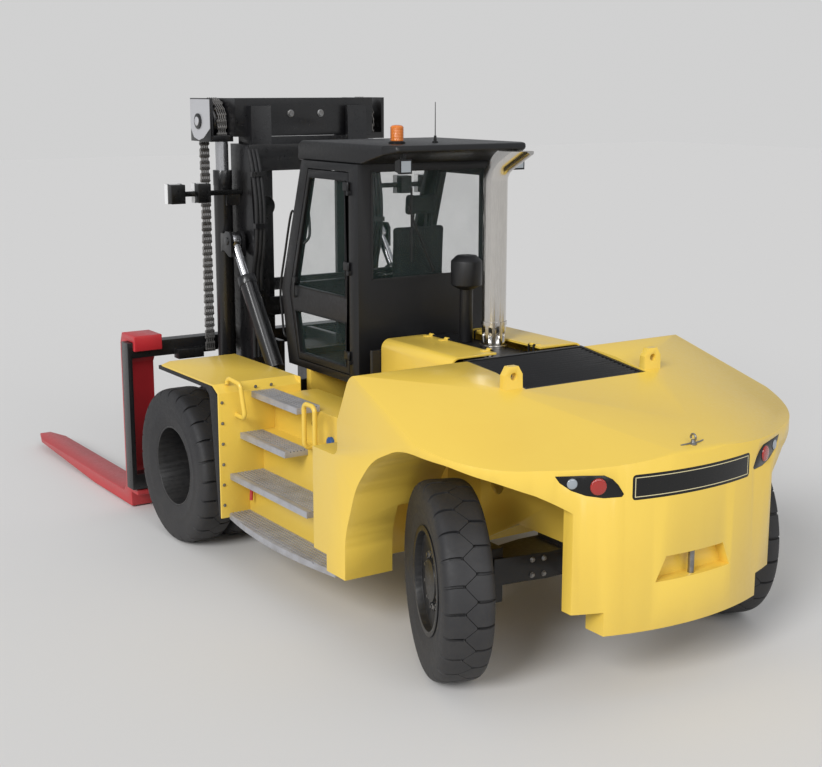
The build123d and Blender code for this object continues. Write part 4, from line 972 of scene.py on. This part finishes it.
def lamp_unit(shell, lens, place, size, way):
    """A box lamp with a bezel, a lens and cooling fins; way is 1 when it shines forward and -1 for backward."""
    x, y, z = place
    wide, deep, tall = size
    front, back = y + way * deep / 2, y - way * deep / 2

    def centred(bm, share, y0, y1):
        """A box about the lamp's middle that takes a share of its width and height."""
        block(bm, (x - share * wide, y0, z - share * tall), (x + share * wide, y1, z + share * tall))

    centred(shell, 0.5, front - way * 0.030, front - way * 0.004)
    centred(shell, 0.42, front - way * 0.028, back + way * 0.02)
    for i in range(-2, 3):
        fin = x + i * 0.18 * wide
        block(shell, (fin - 0.004, y + way * 0.01, z - 0.38 * tall), (fin + 0.004, back, z + 0.38 * tall))
    centred(lens, 0.38, front - way * 0.008, front)


class TRUCK_OT_lamps(bpy.types.Operator):
    """Build the work lamps, the mast lamps, the beacon lens and the antenna"""

    bl_idname = "truck.lamps"
    bl_label = "Lamps and antenna"

    def execute(self, context):
        pale = finish("lamp bezel", (0.80, 0.80, 0.80), gloss=(0.2, 0.3), bump=0.03, coat=0.3)
        shell, lens = bmesh.new(), bmesh.new()
        for x in WORK_LAMPS_X:
            lamp_unit(shell, lens, (x, *WORK_LAMP_PLACE), WORK_LAMP_SIZE, -1)
            block(shell, (x - 0.010, -1.500, 3.055), (x + 0.010, -1.480, 3.108))
        piece = make_object("work_lamp_shells", shell, "chassis", "lamp_black")
        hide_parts("work_lamps")
        make_object("work_lamp_lenses", lens, "chassis", "cab_glass", clear_lens())
        lens, bezel = bmesh.new(), bmesh.new()
        for sign in (-1, 1):
            for x0, x1 in MAST_LAMPS:
                for a, b, z0, z1 in ((x0 - 0.003, x0 + 0.012, 2.637, 2.793), (x1 - 0.012, x1 + 0.003, 2.637, 2.793),
                                     (x0, x1, 2.637, 2.652), (x0, x1, 2.778, 2.793)):
                    block(bezel, (sign * a, 0.712, z0), (sign * b, 0.768, z1))
                block(lens, (sign * (x0 + 0.010), 0.755, 2.650), (sign * (x1 - 0.010), 0.764, 2.780))
        make_object("mast_lamp_bezels", bezel, "mast", "stack_steel", pale)
        make_object("mast_lamp_lenses", lens, "mast", "cab_glass", clear_lens())
        low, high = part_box("beacon")
        foot = upright(((low.x + high.x) / 2, (low.y + high.y) / 2, low.z))
        profile = [(0.018, 0.046)]
        for i in range(9):
            base = 0.022 + i * 0.0105
            profile += [(base, 0.0455), (base + 0.005, 0.0475), (base + 0.0095, 0.0455)]
        profile += [(0.122, 0.042), (0.128, 0.030), (0.130, 0.014)]
        turned("beacon_lens", profile, [foot], "chassis", "amber_lens", segments=48)
        piece = turned("beacon_base", BEACON_FOOT, [foot], "chassis", "lamp_black", segments=48)
        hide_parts("beacon")
        turned("antenna", ANTENNA_PROFILE, [upright((-0.03, -1.24, 3.153))], "chassis", "lamp_black", segments=16)
        return {"FINISHED"}


# Mast dressing: hose runs, sheave plates and pins

HOSE_RUN = ((0.585, 3.05), (0.530, 2.90), (0.478, 2.66), (0.472, 2.45), (0.500, 2.24), (0.552, 2.04),
            (0.556, 1.60), (0.556, 0.95))
HOSES_X = (0.520, 0.554, 0.588)
CLAMPS = ((2.86, 0.512), (2.45, 0.472), (1.90, 0.556), (1.35, 0.556))
SHEAVE_PLATE = ((0.795, 3.445), (1.155, 3.445), (1.155, 3.215), (1.095, 3.140), (1.004, 3.118), (0.913, 3.140),
                (0.795, 3.215))
PLATE_IN, PLATE_OUT = 0.8195, 0.8235
SHEAVE_PIN = ((0.0, 0.036), (0.018, 0.036), (0.022, 0.030))
SHEAVE_COLLAR = ((0.0, 0.062), (0.010, 0.062), (0.013, 0.056))
CROSSHEAD_CAP = ((0.0, 0.030), (0.006, 0.030), (0.008, 0.022), (0.014, 0.020))


def smooth_run(points, steps=8):
    """Points along a smooth curve through the given places."""
    points = [Vector(p) for p in points]
    padded = [2 * points[0] - points[1]] + points + [2 * points[-1] - points[-2]]
    run = []
    for a, b, c, d in zip(padded, padded[1:], padded[2:], padded[3:]):
        for i in range(steps):
            t = i / steps
            bend, twist = 2 * a - 5 * b + 4 * c - d, 3 * b - a - 3 * c + d
            run.append(0.5 * (2 * b + (c - a) * t + bend * t**2 + twist * t**3))
    return run + [points[-1]]


class TRUCK_OT_mast(bpy.types.Operator):
    """Lay the clamped hoses on the mast and fit its sheave plates and pins"""

    bl_idname = "truck.mast"
    bl_label = "Mast fittings"

    def execute(self, context):
        steel = finish("ground steel", (0.58, 0.58, 0.60), gloss=(0.3, 0.42), bump=0.05, metallic=0.4)
        hoses, clamps, plates, pins = bmesh.new(), bmesh.new(), bmesh.new(), []
        for sign in (-1, 1):
            for x in HOSES_X:
                pipe(hoses, smooth_run([(sign * x, y, z) for y, z in HOSE_RUN]), 0.0165, segments=12)
            for z, y in CLAMPS:
                block(clamps, (sign * 0.497, y - 0.022, z - 0.02), (sign * 0.609, y + 0.024, z + 0.02))
            prism(plates, SHEAVE_PLATE, sign * PLATE_IN, sign * PLATE_OUT)
            pins.append(sideways(sign, (sign * PLATE_OUT, SHEAVE_Y, SHEAVE_Z)))
        make_object("mast_hoses", hoses, "mast", "guard_rubber")
        make_object("hose_clamps", clamps, "mast", "mast_black")
        make_object("sheave_plates", plates, "inner_mast", "stack_steel", steel)
        turned("sheave_pins", SHEAVE_PIN, pins, "inner_mast", "rod_chrome", steel, segments=36)
        turned("sheave_collars", SHEAVE_COLLAR, pins, "inner_mast", "mast_black", segments=40)
        rearward = Matrix.Rotation(radians(-90), 4, "Z")
        caps = [Matrix.Translation((x, 0.700, 3.330)) @ rearward for x in (-0.42, -0.14, 0.14, 0.42)]
        turned("crosshead_caps", CROSSHEAD_CAP, caps, "inner_mast", "rod_chrome", plated(), segments=20)
        return {"FINISHED"}


# Steps and tank fittings

RIB_PITCH, RIB_WIDTH, TREAD_FRONT = 0.028, 0.009, -0.549
FILLER_CAP = ((0.0, 0.036), (0.022, 0.036), (0.028, 0.030), (0.030, 0.018))
CABINET_LOCK = ((0.0, 0.030), (0.010, 0.030), (0.014, 0.024), (0.016, 0.010))
STEP_TOPS = (  # outer edge, inner edge, rear end, height of the top
    (1.375, 1.230, -2.085, 0.455),
    (1.375, 1.108, -1.700, 0.755),
    (1.285, 1.108, -1.235, 1.055),
    (1.185, 1.008, -1.235, 1.355),
)


class TRUCK_OT_steps(bpy.types.Operator):
    """Lay strips of painted shade in the tread channels and fit the caps, locks and the red lever beside the steps"""

    bl_idname = "truck.steps"
    bl_label = "Step fittings"

    def execute(self, context):
        # The black strips just under each tread top are painted shade in the channels between the ribs.
        channel_shade_strips = bmesh.new()
        for outer, inner, rear, top in STEP_TOPS:
            for i in range(int((outer - inner) / RIB_PITCH)):
                x = inner + 0.0145 + RIB_PITCH * i
                for sign in (-1, 1):
                    block(channel_shade_strips, (sign * x, rear, top - 0.009), (sign * (x + RIB_WIDTH), TREAD_FRONT, top - 0.006))
        caps = [sideways(sign, (sign * 1.001, -1.400, 1.125)) for sign in (-1, 1)]
        locks = [sideways(sign, (sign * 1.001, -1.165, 1.205)) for sign in (-1, 1)]
        # One piece of painted shade for all the tread channels.
        make_object("tread_channels", channel_shade_strips, "chassis", "lamp_black")
        blue = finish("blue cap", (0.03, 0.12, 0.40), gloss=(0.3, 0.4), bump=0.05)
        turned("filler_caps", FILLER_CAP, caps, "chassis", "control_plastic", blue)
        turned("cabinet_locks", CABINET_LOCK, locks, "chassis", "lamp_black", segments=28)
        bm = bmesh.new()
        pipe(bm, [(-1.220, -0.640, 0.655), (-1.256, -0.640, 0.655)], 0.018)
        pipe(bm, [(-1.248, -0.640, 0.662), (-1.262, -0.655, 0.560)], 0.013)
        make_object("isolator_lever", bm, "chassis", "fork_red")
        return {"FINISHED"}


# Cab: grips, wiper, seals and grab rails

DOOR_GRIP = ((0.588, -0.300, 2.700), (0.560, -0.320, 2.640), (0.555, -0.330, 2.450), (0.588, -0.300, 2.380))
DOOR_HANDLE = ((0.616, -0.215, 2.08), (0.634, -0.215, 2.08), (0.634, -0.215, 1.98), (0.616, -0.215, 1.97))
DOOR_WINDOWS = (
    ((-0.958, 2.050), (-0.180, 2.050), (-0.446, 2.890), (-0.958, 2.890)),
    ((-0.958, 1.540), (-0.268, 1.540), (-0.190, 1.865), (-0.958, 1.865)),
)
REAR_SEAL = ((-0.505, 0.505, 2.183, 2.197), (-0.505, 0.505, 2.953, 2.967), (-0.507, -0.493, 2.19, 2.96),
             (0.493, 0.507, 2.19, 2.96))
GRAB_RAIL = ((0.598, -0.055, 1.630), (0.598, 0.022, 1.640), (0.598, 0.048, 1.780), (0.598, 0.070, 2.000),
             (0.598, -0.020, 2.300), (0.598, -0.120, 2.590), (0.598, -0.185, 2.610))


def mirrored(run, sign):
    """Places given for the right side, put on the left or right side."""
    return [(sign * x, y, z) for x, y, z in run]


class TRUCK_OT_cab(bpy.types.Operator):
    """Fit the door grips, the window seals, the wiper and the front grab rails"""

    bl_idname = "truck.cab"
    bl_label = "Cab fittings"

    def execute(self, context):
        for side, sign in SIDES:
            bm = bmesh.new()
            pipe(bm, smooth_run(mirrored(DOOR_GRIP, sign)), 0.011)
            pipe(bm, smooth_run(mirrored(DOOR_HANDLE, sign), 4), 0.008)
            make_object("door_grips_" + side, bm, "door_" + side, "control_plastic")
        bm = bmesh.new()
        pipe(bm, [(0.02, -1.139, 2.215), (0.02, -1.146, 2.225), (-0.20, -1.150, 2.70)], 0.006)
        block(bm, (-0.006, -1.151, 2.30), (0.006, -1.142, 2.84), Matrix.Translation((-0.17, 0, 0)))
        make_object("rear_wiper", bm, "chassis", "guard_rubber")
        bm = bmesh.new()
        for x0, x1, z0, z1 in REAR_SEAL:
            block(bm, (x0, -1.1395, z0), (x1, -1.130, z1))
        make_object("rear_window_seal", bm, "chassis", "guard_rubber")
        for side, sign in SIDES:
            bm = bmesh.new()
            for outline in DOOR_WINDOWS:
                corners = [Vector((sign * 0.6155, y, z)) for y, z in outline]
                pipe(bm, corners + corners[:2], 0.006, segments=8)
            make_object("door_seals_" + side, bm, "door_" + side, "guard_rubber")
        bm = bmesh.new()
        for sign in (-1, 1):
            pipe(bm, smooth_run(mirrored(GRAB_RAIL, sign), 5), 0.009)
        make_object("front_grab_rails", bm, "chassis", "black_paint")
        return {"FINISHED"}


# Seat

CUSHIONS = (  # piece, side outline as (y, z), half width, farthest that a point may swell
    ("seat_cushion", ((-0.950, 1.800), (-0.400, 1.800), (-0.395, 1.890), (-0.950, 1.880)), 0.232, 0.010),
    ("seat_back", ((-0.990, 1.900), (-0.915, 1.900), (-0.950, 2.545), (-1.015, 2.545)), 0.222, 0.010),
    ("seat_headrest", ((-1.032, 2.625), (-0.975, 2.625), (-0.985, 2.775), (-1.035, 2.775)), 0.130, 0.008),
)
CLOTH_FRAMES, CLOTH_PRESSURE = 20, 4.0
VOXEL, QUICK_VOXEL = 0.006, 0.010
BELLOWS, BELLOWS_HEIGHT = 6, 0.0367


def swollen(pad, swell):
    """Blows a pad up by cloth pressure and holds each point within a distance of its start."""
    rest = [v.co.copy() for v in pad.data.vertices]
    settings = pad.modifiers.new("swell", "CLOTH").settings
    settings.use_pressure = True
    settings.uniform_pressure_force = CLOTH_PRESSURE
    settings.effector_weights.gravity = 0.0
    cache = pad.modifiers["swell"].point_cache
    cache.frame_start, cache.frame_end = 1, CLOTH_FRAMES
    for frame_number in range(1, CLOTH_FRAMES + 1):
        bpy.context.scene.frame_set(frame_number)
    baked(pad)
    bpy.context.scene.frame_set(1)
    for vertex, start in zip(pad.data.vertices, rest):
        moved = vertex.co - start
        if moved.length > swell:
            vertex.co = start + moved * (swell / moved.length)


def cushion(name, corners, half_width, swell):
    """A crowned pad grown by cloth pressure inside a side outline, as wide as given."""
    bm = bmesh.new()
    prism(bm, corners, -half_width, half_width)
    bmesh.ops.recalc_face_normals(bm, faces=bm.faces)
    bmesh.ops.bevel(bm, geom=list(bm.edges), offset=0.032, segments=4, profile=0.55, affect="EDGES")
    pad = object_from(name, bm)
    remesh = pad.modifiers.new("even", "REMESH")
    remesh.mode = "VOXEL"
    remesh.voxel_size = VOXEL
    baked(pad)
    swollen(pad, swell)
    smooth_shaded(pad.data)
    pad.data.materials.clear()
    pad.data.materials.append(slot_materials()["seat_fabric"])
    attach(pad, NODE_BODY["seat"])


class TRUCK_OT_seat(bpy.types.Operator):
    """Upholster the driver's seat on its sprung base"""

    bl_idname = "truck.seat"
    bl_label = "Seat"

    def execute(self, context):
        for row in CUSHIONS:
            cushion(*row)
        bm = bmesh.new()
        block(bm, (-0.230, -0.960, 1.480), (0.230, -0.420, 1.560))
        block(bm, (-0.248, -0.975, 1.780), (0.248, -0.385, 1.802))
        for i in range(BELLOWS):
            z = 1.560 + i * BELLOWS_HEIGHT
            inset = 0.012 if i % 2 else 0.030
            block(bm, (inset - 0.215, inset - 0.945, z), (0.215 - inset, -0.435 - inset, z + BELLOWS_HEIGHT))
        for sign in (-1, 1):
            pipe(bm, [(sign * 0.055, -0.985, 2.520), (sign * 0.055, -1.003, 2.640)], 0.008)
            block(bm, (sign * 0.100, -1.010, 1.800), (sign * 0.150, -0.985, 1.930))
        base = make_object("seat_base", bm, "chassis", "control_plastic")
        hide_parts("seat")
        return {"FINISHED"}


# Steer axle and tow pin

BEAM_ROWS_Z = (0.595, 0.695)
GLAND_PROFILE = ((0.0, 0.020), (0.0, 0.066), (0.004, 0.0715), (0.070, 0.0715), (0.074, 0.066))


class TRUCK_OT_axle(bpy.types.Operator):
    """Fit the steering cylinder's glands, the axle bolts and the tow pin's sleeve"""

    bl_idname = "truck.axle"
    bl_label = "Axle fittings"

    def execute(self, context):
        low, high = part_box("steer_axle")
        bolt = pattern_item("bolt", hex_head(0.014, 0.013))
        rows = [(sign, z) for sign in (-1, 1) for z in BEAM_ROWS_Z]
        meshes = [bolt_row(bolt, (sign * 0.52, high.y - 0.2955, z), (sign * 0.08, 0.0133, 0), 2, BACKWARD)
                  for sign, z in rows]
        gathered("axle_bolts", meshes, NODE_BODY["steer_axle"], "rod_chrome", plated())
        bpy.data.objects.remove(bolt)
        glands = [sideways(-sign, (sign * 0.371, low.y + 0.070, 0.600)) for sign in (-1, 1)]
        turned("steer_glands", GLAND_PROFILE, glands, NODE_BODY["steer_axle"], "rod_chrome", segments=40)
        sleeve = upright((0, CAD_BOX[0].y + 0.042, 0.7205))
        turned("tow_pin_sleeve", ((0.0, 0.0192), (0.149, 0.0192)), [sleeve], "chassis", "rod_chrome", plated(), 28)
        return {"FINISHED"}


class TRUCK_PT_panel(bpy.types.Panel):
    """The truck's pieces, in the order they are made"""

    bl_label = "Truck"
    bl_idname = "TRUCK_PT_panel"
    bl_space_type = "VIEW_3D"
    bl_region_type = "UI"
    bl_category = "Truck"

    def draw(self, context):
        for operator in OPERATORS:
            self.layout.operator(operator.bl_idname)


OPERATORS = (
    TRUCK_OT_stage,
    TRUCK_OT_body,
    TRUCK_OT_tyres,
    TRUCK_OT_fasteners,
    TRUCK_OT_chains,
    TRUCK_OT_tail,
    TRUCK_OT_lamps,
    TRUCK_OT_mast,
    TRUCK_OT_steps,
    TRUCK_OT_cab,
    TRUCK_OT_seat,
    TRUCK_OT_axle,
)
CLASSES = (TruckSizes, TruckColours) + OPERATORS + (TRUCK_PT_panel,)


def register():
    """Registers the classes and hangs the settings on the scene."""
    for cls in CLASSES:
        bpy.utils.register_class(cls)
    bpy.types.Scene.truck_sizes = PointerProperty(type=TruckSizes)
    bpy.types.Scene.truck_colours = PointerProperty(type=TruckColours)


def unregister():
    """Takes the settings and classes away again."""
    del bpy.types.Scene.truck_colours
    del bpy.types.Scene.truck_sizes
    for cls in reversed(CLASSES):
        bpy.utils.unregister_class(cls)


def main():
    register()
    for operator in OPERATORS:
        family, name = operator.bl_idname.split(".")
        getattr(getattr(bpy.ops, family), name)()


if __name__ == "__main__":
    main()
